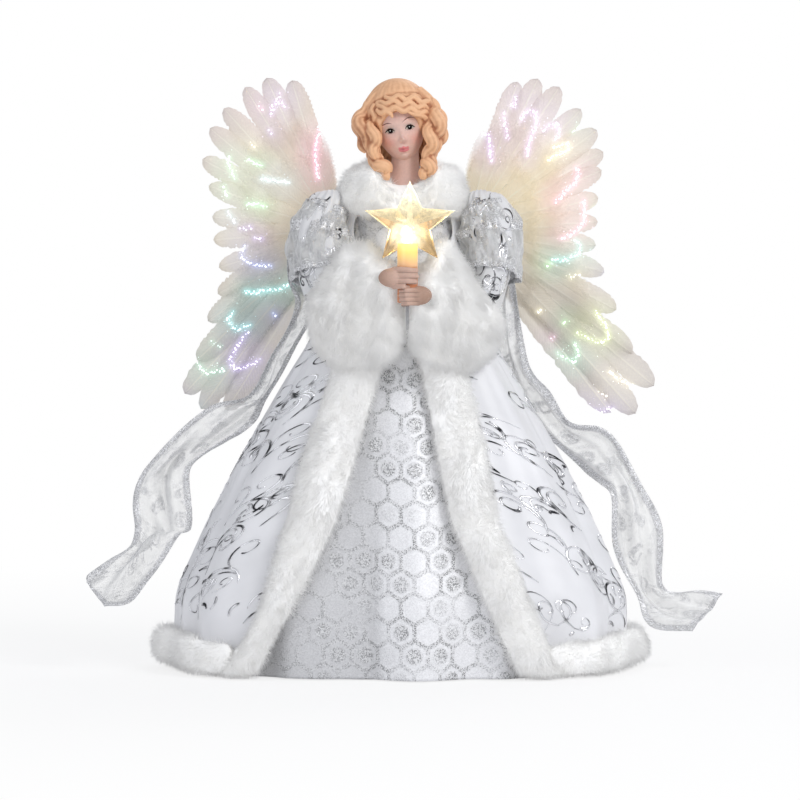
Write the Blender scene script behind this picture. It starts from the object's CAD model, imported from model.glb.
import contextlib
import math
import bmesh
import bpy
import numpy as np
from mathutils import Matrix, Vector


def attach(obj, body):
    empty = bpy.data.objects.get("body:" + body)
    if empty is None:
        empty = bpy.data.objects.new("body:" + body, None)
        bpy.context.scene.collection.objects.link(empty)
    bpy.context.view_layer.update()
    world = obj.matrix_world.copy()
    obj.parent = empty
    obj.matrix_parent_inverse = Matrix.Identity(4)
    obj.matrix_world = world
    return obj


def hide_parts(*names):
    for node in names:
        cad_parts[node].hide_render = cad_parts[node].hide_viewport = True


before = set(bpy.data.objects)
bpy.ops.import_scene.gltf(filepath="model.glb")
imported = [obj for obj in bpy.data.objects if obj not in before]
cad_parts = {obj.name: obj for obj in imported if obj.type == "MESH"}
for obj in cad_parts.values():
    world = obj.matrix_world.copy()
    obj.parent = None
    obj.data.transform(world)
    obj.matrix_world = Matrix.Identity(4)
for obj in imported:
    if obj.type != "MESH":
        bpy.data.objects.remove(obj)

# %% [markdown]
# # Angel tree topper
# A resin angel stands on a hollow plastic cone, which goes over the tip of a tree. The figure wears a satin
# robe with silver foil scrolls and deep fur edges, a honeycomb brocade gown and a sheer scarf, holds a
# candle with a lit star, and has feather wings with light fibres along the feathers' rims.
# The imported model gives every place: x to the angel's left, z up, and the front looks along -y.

scene = bpy.context.scene
MM = 0.001
WHITE = (1, 1, 1, 1)
JOIN = 2e-6  # points closer than this, in metres, are one point
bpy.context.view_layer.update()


def held(values):
    """Values held between 0 and 1."""
    return np.clip(values, 0, 1)


def placed(name, data):
    """A new object of the scene."""
    made = bpy.data.objects.new(name, data)
    scene.collection.objects.link(made)
    return made


# %% [markdown]
# ## Camera, floor and light
# The photograph is taken from the front through a long lens, a little above the hem, so the camera stands
# 3 m away. A pixel is then about half a millimetre at the figure. The floor is plain and pale and the
# light is soft, as in a product picture: a broad key from the upper right and a pale world all round.

# %% Camera
camera = placed("camera", bpy.data.cameras.new("camera"))
scene.camera = camera
FRAME_WIDTH = 0.41
CAMERA_DISTANCE = 3.0
CAMERA_RISE = math.radians(2.5)
camera.data.lens = camera.data.sensor_width * CAMERA_DISTANCE / FRAME_WIDTH
target = Vector((-0.0005, -0.01, 0.1389))
back = Vector((0, -math.cos(CAMERA_RISE), math.sin(CAMERA_RISE)))
camera.location = target + back * CAMERA_DISTANCE
camera.rotation_euler = (-back).to_track_quat("-Z", "Y").to_euler()
camera.data.clip_start = 0.05
camera.data.clip_end = 60
print("lens", round(camera.data.lens, 1))


# %% Small builders for node trees
def link(value, socket):
    """Feeds a socket from another socket or with a plain value."""
    if isinstance(value, bpy.types.NodeSocket):
        socket.id_data.links.new(value, socket)
    elif value is not None:
        socket.default_value = value


def node(tree, kind, **values):
    """One shader node; names that start with in__ feed an input, and the rest set a property."""
    made = tree.nodes.new("ShaderNode" + kind)
    for name, value in values.items():
        if name.startswith("in__"):
            key = name[4:]
            link(value, made.inputs[int(key) if key.isdigit() else key.replace("_", " ")])
        else:
            setattr(made, name, value)
    return made


def tree_of(*values):
    """The node tree that the first socket among the values belongs to."""
    return next(v.id_data for v in values if isinstance(v, bpy.types.NodeSocket))


def maths(operation, *values, clamp=False):
    """A math node whose arguments are sockets or numbers; gives its output socket."""
    made = node(tree_of(*values), "Math", operation=operation, use_clamp=clamp)
    for value, socket in zip(values, made.inputs):
        link(value, socket)
    return made.outputs[0]


def plus(a, b):
    return maths("ADD", a, b)


def minus(a, b):
    return maths("SUBTRACT", a, b)


def times(a, b):
    return maths("MULTIPLY", a, b)


def larger(a, b):
    return maths("MAXIMUM", a, b)


def vectors(operation, a, b=None, output=0, **more):
    """A vector math node: sockets or three numbers in, its socket out."""
    return node(tree_of(a), "VectorMath", operation=operation, in__0=a, in__1=b, **more).outputs[output]


def blend(factor, one, two, kind="MIX"):
    """Mixes two colours, each a socket or four numbers; gives the colour socket."""
    tree = tree_of(factor, one, two)
    return node(tree, "Mix", data_type="RGBA", blend_type=kind, in__0=factor, in__6=one, in__7=two).outputs[2]


def noise(vector, scale, detail=3, roughness=0.5):
    values = {"in__Vector": vector, "in__Scale": scale, "in__Detail": detail, "in__Roughness": roughness}
    return node(tree_of(vector), "TexNoise", **values).outputs["Fac"]


def spread(value, low, high, to_low=0, to_high=1):
    """Maps a value from one range to another, held inside it."""
    made = node(tree_of(value), "MapRange", clamp=True, in__Value=value)
    for name, number in (("From Min", low), ("From Max", high), ("To Min", to_low), ("To Max", to_high)):
        made.inputs[name].default_value = number
    return made.outputs["Result"]


def parts_of(vector):
    """The three parts of a vector."""
    return node(tree_of(vector), "SeparateXYZ", in__0=vector).outputs


def dice_of(colour):
    """The three parts of a colour, which serve as three random numbers for each cell."""
    return node(tree_of(colour), "SeparateColor", in__0=colour).outputs


def voronoi(vector, scale=1, **more):
    """A flat Voronoi pattern."""
    return node(tree_of(vector), "TexVoronoi", voronoi_dimensions="2D", in__Vector=vector, in__Scale=scale, **more)


def place_of(tree, kind="Object"):
    return node(tree, "TexCoord").outputs[kind]


def painted(tree, name):
    """The colour that is stored at a mesh's points under a name."""
    return node(tree, "Attribute", attribute_name=name).outputs["Color"]


def feed(shader, **values):
    """Feeds a shader's inputs; their names have underscores for spaces."""
    for key, value in values.items():
        link(value, shader.inputs[key.replace("_", " ")])


def finish_of(name, colour=(0.8, 0.8, 0.8, 1), roughness=0.5, **values):
    """A material with its Principled shader."""
    paint = bpy.data.materials.new(name)
    paint.use_nodes = True
    shader = paint.node_tree.nodes["Principled BSDF"]
    feed(shader, Base_Color=colour, Roughness=roughness, **values)
    return paint, paint.node_tree, shader


def bump(shader, height, strength, distance=0.0002):
    made = node(shader.id_data, "Bump", in__Strength=strength, in__Distance=distance, in__Height=height)
    feed(shader, Normal=made.outputs["Normal"])


def shown(tree, surface):
    """Makes a shader the one that the material shows."""
    link(surface, tree.nodes["Material Output"].inputs["Surface"])


# %% Mesh edits
@contextlib.contextmanager
def worked(mesh):
    """Opens a mesh for operators and writes it back."""
    bm = bmesh.new()
    bm.from_mesh(mesh)
    yield bm
    bm.to_mesh(mesh)
    bm.free()
    mesh.update()


# %% Floor and backdrop
def white_floor():
    """Pale floor that keeps the soft shadow near the figure and turns to plain white further off."""
    paint, tree, shader = finish_of("floor_white", (0.93, 0.93, 0.94, 1), 0.9, Specular_IOR_Level=0)
    away = vectors("LENGTH", place_of(tree), output="Value")
    glow = node(tree, "Emission", in__Color=WHITE, in__Strength=1)
    path = node(tree, "LightPath").outputs
    seen = larger(path["Is Camera Ray"], path["Is Transmission Ray"])
    share = times(seen, spread(spread(away, 0.2, 0.75), 0, 1, 0.75, 1))
    mix = node(tree, "MixShader", in__0=share, in__1=shader.outputs[0], in__2=glow.outputs[0])
    shown(tree, mix.outputs[0])
    mesh = bpy.data.meshes.new("floor")
    with worked(mesh) as bm:
        bmesh.ops.create_circle(bm, cap_ends=True, segments=96, radius=14)
    mesh.materials.append(paint)
    floor = placed("floor", mesh)


def pale_world():
    """A pale room that lights softly and is plain white where the camera sees it."""
    world = bpy.data.worlds.new("pale_world")
    scene.world = world
    world.use_nodes = True
    tree = world.node_tree
    path = node(tree, "LightPath").outputs
    seen = larger(path["Is Camera Ray"], path["Is Transmission Ray"])
    feed(
        tree.nodes["Background"], Color=blend(seen, (0.93, 0.95, 1, 1), WHITE),
        Strength=spread(seen, 0, 1, WORLD_LEVEL, 1),
    )


WORLD_LEVEL = 0.62
white_floor()
pale_world()


# %% Lamps
def soft_lamp(name, place, size, watts, colour=(1, 1, 1)):
    lamp = bpy.data.lights.new(name, "AREA")
    lamp.shape = "DISK"
    lamp.size = size
    lamp.energy = watts
    lamp.color = colour
    holder = placed(name, lamp)
    holder.location = place
    holder.rotation_euler = (Vector((0, 0, 0.15)) - Vector(place)).to_track_quat("-Z", "Y").to_euler()


soft_lamp("key", (1, -1.1, 1.2), 0.7, 12)
soft_lamp("fill", (-1.3, -1.3, 0.7), 1.1, 3.6, (0.97, 0.98, 1))
soft_lamp("rim", (0.5, 1.3, 1.1), 0.9, 6)
scene.view_settings.view_transform = "Standard"


# %% [markdown]
# ## Shared helpers for the cloth and the fur
# Cloth is made from an operator's grid whose points are then moved to their place, so it keeps an even
# weave of faces and a UV map in millimetres. Tubes and tapered locks are the same grid, rolled up and
# closed. Many small copies of one shape, such as hairs, are one mesh that repeats a template.

# %% Meshes
def keep(name, mesh, paint, replaces=(), smooth=True, body="root"):
    """Makes a mesh a piece that rides on a body."""
    mesh.polygons.foreach_set("use_smooth", [smooth] * len(mesh.polygons))
    mesh.materials.clear()
    mesh.materials.append(paint)
    mesh.update()
    piece = placed(name, mesh)
    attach(piece, body)
    if replaces:
        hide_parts(*replaces)
    return piece


def grid_mesh(name, columns, rows, place, uv=None, roll=False):
    """place(u, v) gives millimetres for arrays of shares; uv(u, v, points) gives the map's coordinates."""
    mesh = bpy.data.meshes.new(name)
    with worked(mesh) as bm:
        bmesh.ops.create_grid(bm, x_segments=columns, y_segments=rows, size=0.5)
    flat = mesh_values(mesh.vertices, "co", 3)
    u, v = held(flat[:, 0] + 0.5), held(flat[:, 1] + 0.5)
    points = place(u, v)
    mesh.vertices.foreach_set("co", (points * MM).ravel())
    corners = mesh_values(mesh.loops, "vertex_index", 1, np.int32)
    laid = np.stack([u, v], 1) if uv is None else uv(u, v, points)
    mesh.uv_layers.new(name="UVMap").data.foreach_set("uv", laid[corners].ravel())
    if roll:
        sewn(mesh, fill=roll == "closed")
    mesh.update()
    return mesh


def cloth_grid(name, columns, rows, place):
    """A grid whose map gives millimetres along the cloth."""
    return grid_mesh(name, columns, rows, place, uv=lambda u, v, p: cloth_map(p, columns, rows))


def sewn(mesh, fill=False, outward=True):
    """Closes the seam where two edges of a mesh lie on each other, and its open ends if fill is set."""
    with worked(mesh) as bm:
        bmesh.ops.remove_doubles(bm, verts=bm.verts, dist=JOIN)
        if fill:
            bmesh.ops.holes_fill(bm, edges=bm.edges)
        if outward:
            bmesh.ops.recalc_face_normals(bm, faces=bm.faces)
    return mesh


def joined(name, meshes):
    """One mesh of several, which it replaces."""
    made = bpy.data.meshes.new(name)
    bm = bmesh.new()
    for mesh in meshes:
        bm.from_mesh(mesh)
        bpy.data.meshes.remove(mesh)
    bm.to_mesh(made)
    bm.free()
    return made


def mesh_values(items, what, width, kind=float):
    """One value, or a row of them, for each item of a mesh."""
    values = np.empty(len(items) * width, kind)
    items.foreach_get(what, values)
    return values.reshape(-1, width) if width > 1 else values


def points_of(mesh):
    """The mesh's points in millimetres."""
    return mesh_values(mesh.vertices, "co", 3) / MM


def move_points(mesh, points):
    mesh.vertices.foreach_set("co", (points * MM).ravel())


def paint_points(mesh, name, colours):
    """Stores one colour for each point."""
    rgba = np.concatenate([colours, np.ones((len(colours), 1))], 1)
    mesh.color_attributes.new(name, "FLOAT_COLOR", "POINT").data.foreach_set("color", rgba.ravel())


def paint_value(mesh, name, values):
    """Stores one number for each point, as a grey."""
    paint_points(mesh, name, np.stack([values] * 3, 1))


def curve_through(points, count):
    """Smooth curve through a few points: evenly spaced places and their directions."""
    p = np.array(points, float)
    p = np.concatenate([[2 * p[0] - p[1]], p, [2 * p[-1] - p[-2]]])
    out = []
    for i in range(1, len(p) - 2):
        for t in np.linspace(0, 1, 24, endpoint=False):
            linear = 2 * p[i] + (p[i + 1] - p[i - 1]) * t
            square = (2 * p[i - 1] - 5 * p[i] + 4 * p[i + 1] - p[i + 2]) * t**2
            cubic = (3 * p[i] - p[i - 1] - 3 * p[i + 1] + p[i + 2]) * t**3
            out.append(0.5 * (linear + square + cubic))
    out.append(p[-2])
    out = np.array(out)
    run = np.concatenate([[0], np.cumsum(np.linalg.norm(np.diff(out, axis=0), axis=1))])
    even = np.linspace(0, run[-1], count)
    places = np.stack([np.interp(even, run, out[:, k]) for k in range(out.shape[1])], 1)
    ahead = np.gradient(places, axis=0)[:, :3]
    ahead /= np.linalg.norm(ahead, axis=1, keepdims=True)
    return places, ahead


def ring_place(rows, centres, across, over, half_a, half_b):
    """The place function of a tube: half_a and half_b give its half widths for each row and angle."""

    def place(u, v):
        row = np.rint(v * rows).astype(int)
        angle = 2 * np.pi * (u % 1.0)
        a, b = half_a(row, angle, v)[:, None], half_b(row, angle, v)[:, None]
        return centres[row] + np.cos(angle)[:, None] * across[row] * a + np.sin(angle)[:, None] * over[row] * b

    return place


def tube_mesh(name, points, radius, sides, rows, side=(0, 1, 0)):
    """Closed tapered tube; radius(t) gives its half width."""
    places, ahead = curve_through(points, rows + 1)
    across = np.cross(ahead, np.array(side, float))
    across /= np.linalg.norm(across, axis=1, keepdims=True)
    sizes = radius(np.linspace(0, 1, rows + 1))

    def size(row, angle, v):
        return sizes[row]

    return grid_mesh(
        name, sides, rows, ring_place(rows, places, across, np.cross(across, ahead), size, size), roll="closed"
    )


# %% Many copies of one small shape
def mesh_of_copies(name, places, faces, count):
    """One mesh of copies of a template's faces; places holds the points of copy after copy."""
    n = len(places) // count
    mesh = bpy.data.meshes.new(name)
    mesh.vertices.add(len(places))
    move_points(mesh, places)
    loops = (np.concatenate(faces)[None, :] + (np.arange(count) * n)[:, None]).ravel()
    lengths = np.tile([len(f) for f in faces], count)
    mesh.loops.add(len(loops))
    mesh.loops.foreach_set("vertex_index", loops.astype(np.int32))
    mesh.polygons.add(count * len(faces))
    mesh.polygons.foreach_set("loop_start", np.concatenate([[0], np.cumsum(lengths)[:-1]]).astype(np.int32))
    mesh.update(calc_edges=True)
    return mesh


def template_of(bm):
    """The points and faces of a small shape."""
    bm.verts.ensure_lookup_table()
    shape = np.array([v.co[:] for v in bm.verts])
    faces = [np.array([v.index for v in f.verts]) for f in bm.faces]
    bm.free()
    return shape, faces


def hair_template():
    """A hair of three sides, from the root at 0 to a point at 1."""
    bm = bmesh.new()
    bmesh.ops.create_cone(bm, cap_ends=False, segments=3, radius1=1, radius2=0, depth=1)
    bmesh.ops.translate(bm, verts=bm.verts, vec=(0, 0, 0.5))
    bmesh.ops.remove_doubles(bm, verts=bm.verts, dist=1e-4)
    return template_of(bm)


def unit(ways):
    return ways / np.maximum(np.linalg.norm(ways, axis=1, keepdims=True), 1e-9)


def drift(points, size, seed):
    """Smooth wandering direction for each place, which gathers hairs into tufts."""
    rng = np.random.default_rng(seed)
    out = np.zeros_like(points)
    for _ in range(5):
        waves = rng.normal(size=(3, 3)) / size
        turn = rng.uniform(0, 2 * np.pi, 3)
        out += np.sin(points @ waves + turn)
    return out / 2.5


# %% [markdown]
# ## Skirts
# The robe and gown are lofted like the solids under them: a half width for each height, flattened front to
# back, with soft folds that fade towards the waist. The same tables give the places of the fur bands, so
# everything that lies on the skirts lies on one surface.

# %% Skirt surface
FIGURE_HEIGHT = 304.8
HEM_HALF_WIDTH = 127.0
skirt_heights = FIGURE_HEIGHT * np.array([0, 0.056, 0.13, 0.246, 0.361, 0.492, 0.574, 0.64, 0.738, 0.781])
skirt_halves = HEM_HALF_WIDTH * np.array([0.885, 0.905, 0.9, 0.777, 0.638, 0.46, 0.339, 0.268, 0.268, 0.236])
edge_heights = FIGURE_HEIGHT * np.array(
    [0, 0.066, 0.131, 0.197, 0.259, 0.328, 0.394, 0.459, 0.525, 0.59, 0.64, 0.689, 0.738, 0.781]
)
robe_edges = {
    "right": [
        -0.614, -0.543, -0.47, -0.407, -0.35, -0.305, -0.258, -0.208, -0.157, -0.102, -0.079, -0.157, -0.197, -0.173
    ],
    "left": [0.54, 0.472, 0.413, 0.352, 0.286, 0.255, 0.224, 0.19, 0.157, 0.126, 0.094, 0.173, 0.213, 0.189],
}
SKIRT_TOP = skirt_heights[-1]


def eased(values, knots, at, reach=7):
    """Table value at each height, with its corners rounded over the reach."""
    return np.mean([np.interp(at + d, knots, values) for d in np.linspace(-reach, reach, 7)], axis=0)


def skirt_point(theta, z, inside):
    """Place on the skirts at an angle from the front, a height, and a distance inside the robe's face."""
    half = eased(skirt_halves, skirt_heights, z)
    rise = held(z / SKIRT_TOP)
    turned = (theta + np.pi) % (2 * np.pi) - np.pi
    fade = held((np.abs(turned) - 0.5) / 0.5)
    fade = fade * fade * (3 - 2 * fade)
    fold = 1 + (0.04 + (0.006 - 0.04) * rise) * fade * np.cos(7 * turned)
    a = half * fold - inside
    b = half * (0.68 + (0.52 - 0.68) * rise) * fold - inside
    return np.stack([a * np.sin(theta), -b * np.cos(theta), z], 1)


def angle_across(x, z):
    return np.arcsin(np.clip(x / eased(skirt_halves, skirt_heights, z), -0.98, 0.98))


def edge_angle(side, z):
    return angle_across(HEM_HALF_WIDTH * eased(np.array(robe_edges[side]), edge_heights, z, 4), z)


def cloth_map(places, columns, rows):
    """Map in millimetres along the cloth: across from the middle column, and up from the hem."""
    middle = columns // 2
    grid = places.reshape(rows + 1, columns + 1, 3)
    across = np.cumsum(np.linalg.norm(np.diff(grid, axis=1, prepend=grid[:, :1]), axis=2), axis=1)
    across -= across[:, middle : middle + 1]
    up = np.cumsum(np.linalg.norm(np.diff(grid, axis=0, prepend=grid[:1]), axis=2), axis=0)
    return np.stack([across.ravel(), up.ravel()], 1)


def cut_of(mesh):
    """The flat piece that a cloth was cut from, off its map: width, length and area in metres."""
    places = mesh_values(mesh.uv_layers[0].data, "uv", 2, np.float32)
    width, length = np.ptp(places, axis=0) * MM
    return round(float(width), 4), round(float(length), 4), round(sum(p.area for p in mesh.polygons), 5)


# %% [markdown]
# ## Finishes of the cloth
# The scarf's faint rings are spirals, one in each cell of a Voronoi pattern, broken up so that they come and
# go. The brocade is a hexagon lattice with a lace edge of small knots and a rosette in each cell. Both are
# node groups that only put out masks. The foil on the robe and sleeves is laid on as real strokes further on.

# %% Node group: foil scrolls
def new_group(name, inputs, outputs):
    """An empty node group, with its inputs' outputs and its outputs' inputs."""
    tree = bpy.data.node_groups.new(name, "ShaderNodeTree")
    for socket, kind, default in inputs:
        made = tree.interface.new_socket(socket, in_out="INPUT", socket_type="NodeSocket" + kind)
        if default is not None:
            made.default_value = default
    for socket in outputs:
        tree.interface.new_socket(socket, in_out="OUTPUT", socket_type="NodeSocketFloat")
    return tree, tree.nodes.new("NodeGroupInput").outputs, tree.nodes.new("NodeGroupOutput").inputs


def put_group(tree, group, **values):
    """A use of a node group, with its inputs fed; gives its outputs."""
    made = node(tree, "Group", node_tree=group)
    feed(made, **values)
    return made.outputs


def scroll_group():
    """Spirals and stems: one spiral in each cell, wound either way, with stems along the cells' edges."""
    tree, into, out = new_group(
        "foil_scrolls",
        [("Vector", "Vector", None), ("Cell", "Float", 13), ("Line", "Float", 0.9), ("Gaps", "Float", 0.42)],
        ["Scroll", "Tone"],
    )
    where, cell = into["Vector"], into["Cell"]
    warp = node(tree, "TexNoise", in__Vector=where, in__Scale=0.05, in__Detail=1).outputs["Color"]
    centred = vectors("SUBTRACT", warp, (0.5, 0.5, 0.5))
    bent = vectors("MULTIPLY_ADD", centred, (9, 9, 0), in__2=where)
    shrunk = vectors("SCALE", bent, in__Scale=maths("DIVIDE", 1, cell))
    middles = voronoi(shrunk, in__Randomness=0.75).outputs
    local = parts_of(vectors("SUBTRACT", shrunk, middles["Position"]))
    dice, radius = dice_of(middles["Color"]), middles["Distance"]
    hand = minus(times(maths("GREATER_THAN", dice[1], 0.5), 2), 1)
    angle = maths("ARCTAN2", local[1], times(local[0], hand))
    turn = plus(maths("DIVIDE", angle, 2 * math.pi), dice[0])
    pitch = maths("MULTIPLY_ADD", dice[2], 0.04, 0.1)
    wound = minus(maths("DIVIDE", radius, pitch), turn)
    away = maths("ABSOLUTE", minus(maths("FRACT", wound), 0.5))
    thin = times(away, times(pitch, cell))
    width = times(into["Line"], spread(noise(where, 0.11, 1), 0.35, 0.7, 0.35, 1.25))
    line = maths("SUBTRACT", 1, maths("SMOOTH_MIN", maths("DIVIDE", thin, width), 1, 0.1), clamp=True)
    ring = times(spread(radius, 0.02, 0.04), spread(radius, 0.33, 0.27))
    curls = times(spread(line, 0.12, 0.3), ring)
    rims = voronoi(shrunk, feature="DISTANCE_TO_EDGE", in__Randomness=0.75).outputs["Distance"]
    stem = times(spread(times(rims, cell), 0.55, 0.2), spread(noise(where, 0.09, 1), 0.5, 0.56))
    kept = maths("GREATER_THAN", spread(noise(where, 0.16, 1.5), 0, 1), into["Gaps"])
    link(times(larger(curls, stem), kept), out["Scroll"])
    link(spread(noise(where, 0.3, 2), 0.4, 0.6), out["Tone"])
    return tree


foil_scrolls = scroll_group()
print(foil_scrolls.name, len(foil_scrolls.nodes), "nodes")


# %% Node group: hexagon brocade
def hexagon_group():
    """Hexagons in two staggered grids: the nearer middle of the two is the one that a place belongs to."""
    tree, into, out = new_group(
        "hexagon_brocade", [("Vector", "Vector", None), ("Cell", "Float", 11.5)], ["Lace", "Rosette", "Thread"]
    )
    where = into["Vector"]
    shrunk = vectors("SCALE", where, in__Scale=maths("DIVIDE", 1, into["Cell"]))
    tall = math.sqrt(3)

    def nearest(offset):
        moved = vectors("ADD", shrunk, (offset, offset * tall, 0))
        folded = vectors("MODULO", moved, (1, tall, 1))
        flat = vectors("MULTIPLY", vectors("SUBTRACT", folded, (0.5, tall / 2, 0)), (1, 1, 0))
        return flat, vectors("LENGTH", flat, output="Value")

    far = 40.0  # keeps the folded numbers positive
    one, one_size = nearest(far)
    two, two_size = nearest(far + 0.5)
    nearer = maths("LESS_THAN", two_size, one_size)
    chosen = node(tree, "Mix", data_type="VECTOR", in__0=nearer, in__4=one, in__5=two).outputs[1]
    parts = parts_of(chosen)
    x, y = (maths("ABSOLUTE", parts[k]) for k in (0, 1))
    rim = larger(x, plus(times(x, 0.5), times(y, tall / 2)))
    radius = maths("MINIMUM", one_size, two_size)
    knots = voronoi(vectors("SCALE", where, in__Scale=1.5), in__Randomness=0.5).outputs["Distance"]
    dots = spread(knots, 0.5, 0.25)
    angle = maths("ARCTAN2", parts[1], parts[0])
    petals = times(plus(maths("COSINE", times(angle, 8)), 1), 0.5)
    ring = times(spread(radius, 0.11, 0.15), spread(radius, 0.27, 0.23))
    rosette = larger(times(ring, spread(petals, 0.35, 0.6)), spread(radius, 0.075, 0.05))
    cell = vectors("SUBTRACT", shrunk, chosen)
    worn = spread(noise(cell, 0.83, 0), 0.49, 0.51)
    specks = times(dots, spread(radius, 0.34, 0.26))
    weave = {"in__Vector": where, "in__Scale": 0.55, "in__Distortion": 3, "in__Detail_Scale": 1.4}
    link(times(spread(rim, 0.4, 0.44), dots), out["Lace"])
    link(times(larger(times(rosette, 0.6), specks), worn), out["Rosette"])
    link(node(tree, "TexWave", bands_direction="Y", **weave).outputs["Fac"], out["Thread"])
    return tree


hexagon_brocade = hexagon_group()
print(hexagon_brocade.name, len(hexagon_brocade.nodes), "nodes")


# %% Cloth materials
def satin(name, colour, rough=0.4):
    """Glossy satin: fine threads and slow changes of tone."""
    paint, tree, shader = finish_of(name, colour, rough, Sheen_Weight=0.15, Sheen_Roughness=0.4)
    where = place_of(tree, "UV")
    mottled = spread(noise(where, 0.03, 2), 0.3, 0.7, 0.88, 1)
    thread = noise(where, 2.2, 1)
    rougher = spread(thread, 0.3, 0.7, rough - 0.06, rough + 0.06)
    feed(shader, Base_Color=blend(1, colour, mottled, "MULTIPLY"), Roughness=rougher)
    bump(shader, thread, 0.3, 0.00012)
    return paint


def stamped_foil(name):
    """Hot stamped foil: metal that mirrors dark and bright parts of the room in turn."""
    paint, tree, shader = finish_of(name, (0.9, 0.9, 0.92, 1), 0.16, Metallic=0.9)
    where = place_of(tree)
    tone = spread(noise(where, 130, 1.5), 0.38, 0.54)
    colour = blend(tone, (0.035, 0.035, 0.04, 1), (0.96, 0.96, 0.98, 1))
    feed(shader, Base_Color=colour, Roughness=spread(noise(where, 600, 2), 0.3, 0.7, 0.1, 0.3))
    bump(shader, noise(where, 500, 2), 0.3)
    return paint


def silver_brocade(name):
    """Silver brocade: glittering lace lines, rosettes of dark specks, and a crossways metal thread."""
    paint, tree, shader = finish_of(name, (0.85, 0.85, 0.87, 1), 0.42, Metallic=0.25)
    where = place_of(tree, "UV")
    cloth = put_group(tree, hexagon_brocade, Vector=where, Cell=14)
    spark = dice_of(voronoi(where, 1.9).outputs["Color"])
    across = parts_of(where)[0]
    strong = spread(across, -24, -10, 0.6, 1)
    worn = times(spread(noise(where, 0.045, 1), 0.36, 0.54, 0.4, 1), strong)
    raised = times(larger(cloth["Lace"], cloth["Rosette"]), worn)
    ground = blend(cloth["Thread"], (0.85, 0.85, 0.87, 1), (0.96, 0.96, 0.97, 1))
    grain, shade = spread(spark[0], 0, 1, 0.88, 1.05), spread(across, -17, -9, 0.74, 1)
    toned = blend(1, ground, times(grain, shade), "MULTIPLY")
    dark = blend(spread(spark[1], 0.45, 0.6), (0.09, 0.09, 0.09, 1), (0.95, 0.95, 0.95, 1))
    feed(
        shader,
        Base_Color=blend(times(raised, 0.95), toned, dark),
        Metallic=spread(raised, 0, 1, 0.1, 0.45),
        Roughness=spread(spark[2], 0, 1, 0.4, 0.62),
    )
    bump(shader, plus(times(spark[0], 0.3), raised), 0.7, 0.0003)
    return paint


robe_satin = satin("robe_satin", (0.84, 0.84, 0.86, 1))
sleeve_satin = satin("sleeve_satin", (0.78, 0.78, 0.79, 1), 0.45)
foil_metal = stamped_foil("foil_metal")
gown_brocade = silver_brocade("gown_brocade")
print("cloth finishes", robe_satin.name, sleeve_satin.name, gown_brocade.name)


# %% [markdown]
# ## Robe
# The robe is one open cloth that stands on the cone, with its two edges at the front. It is flared, glossy
# and stiff, so it keeps broad shallow folds, and finer creases run up from the hem between them.

# %% Robe
def robe_mesh(columns, rows):
    """The robe from its left front edge round the back to its right one, with creases that run up from the hem."""
    bottom, top = 9.5, SKIRT_TOP - 1
    heights = np.linspace(bottom, top, rows + 1)
    left_edge, right_edge = edge_angle("left", heights), edge_angle("right", heights)
    turns = np.random.default_rng(11).uniform(0, 2 * np.pi, 8)

    def place(u, v):
        row = np.rint(v * rows).astype(int)
        z = bottom + (top - bottom) * v
        theta = left_edge[row] + (right_edge[row] + 2 * np.pi - left_edge[row]) * u
        near_edge, low = held(np.minimum(u, 1 - u) * 9), held(1 - z / 190)
        crease = np.zeros_like(u)
        for k, (count, depth) in enumerate(((13, 1), (19, 0.8), (29, 0.5), (41, 0.25))):
            swing = 0.25 * np.sin(z / 34 + turns[k + 4])
            crease += np.sin(count * theta + turns[k] + swing) * depth
        lift = crease * near_edge * (0.35 + 0.85 * low)
        return skirt_point(theta, z, -np.clip(lift, -1.6, 2.6))

    return cloth_grid("robe_cloth", columns, rows, place)


def thickened(mesh, thickness):
    """Gives a cloth its thickness on the inner side."""
    with worked(mesh) as bm:
        bmesh.ops.solidify(bm, geom=bm.faces[:], thickness=thickness * MM)
        bmesh.ops.recalc_face_normals(bm, faces=bm.faces)
    return mesh


# %% Foil scrolls
def curl(start, heading, length, bend, wind, count):
    """A stem that winds up, since it turns faster and faster; on the flat cloth, in millimetres."""
    t = np.linspace(0, 1, count)
    way = heading + bend * t + wind * t**1.9
    steps = np.stack([np.cos(way), np.sin(way)], 1)[:-1] * length / (count - 1)
    return np.array(start) + np.concatenate([np.zeros((1, 2)), np.cumsum(steps, axis=0)])


def sprig(start, heading, size, hand, rng):
    """A scroll: a main stem that winds up, side stems that wind the other way, and drops along it."""
    stem = curl(start, heading, size * rng.uniform(0.95, 1.2), 0.3 * hand, 6.4 * hand, 34)
    strokes = [(stem, rng.uniform(0.42, 0.72))]
    for at, share in ((4, 0.72), (9, 0.6), (14, 0.42)):
        way = math.atan2(*(stem[at + 1] - stem[at])[::-1])
        side = -hand if rng.random() < 0.75 else hand
        length = size * share * rng.uniform(0.85, 1.15)
        branch = curl(stem[at], way + 0.3 * side, length, 0.4 * side, 6.0 * side, 26)
        strokes.append((branch, rng.uniform(0.3, 0.55)))
    for at in rng.choice(np.arange(3, 20), 2, replace=False):
        way = math.atan2(*(stem[at + 1] - stem[at])[::-1])
        side = rng.choice([-1, 1])
        begin = stem[at] + np.array([-math.sin(way), math.cos(way)]) * side * 2.0
        drop = curl(begin, way + 0.5 * side, rng.uniform(5, 9), 1.2 * side, 0.6 * side, 9)
        strokes.append((drop, rng.uniform(0.6, 1)))
    return strokes


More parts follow.
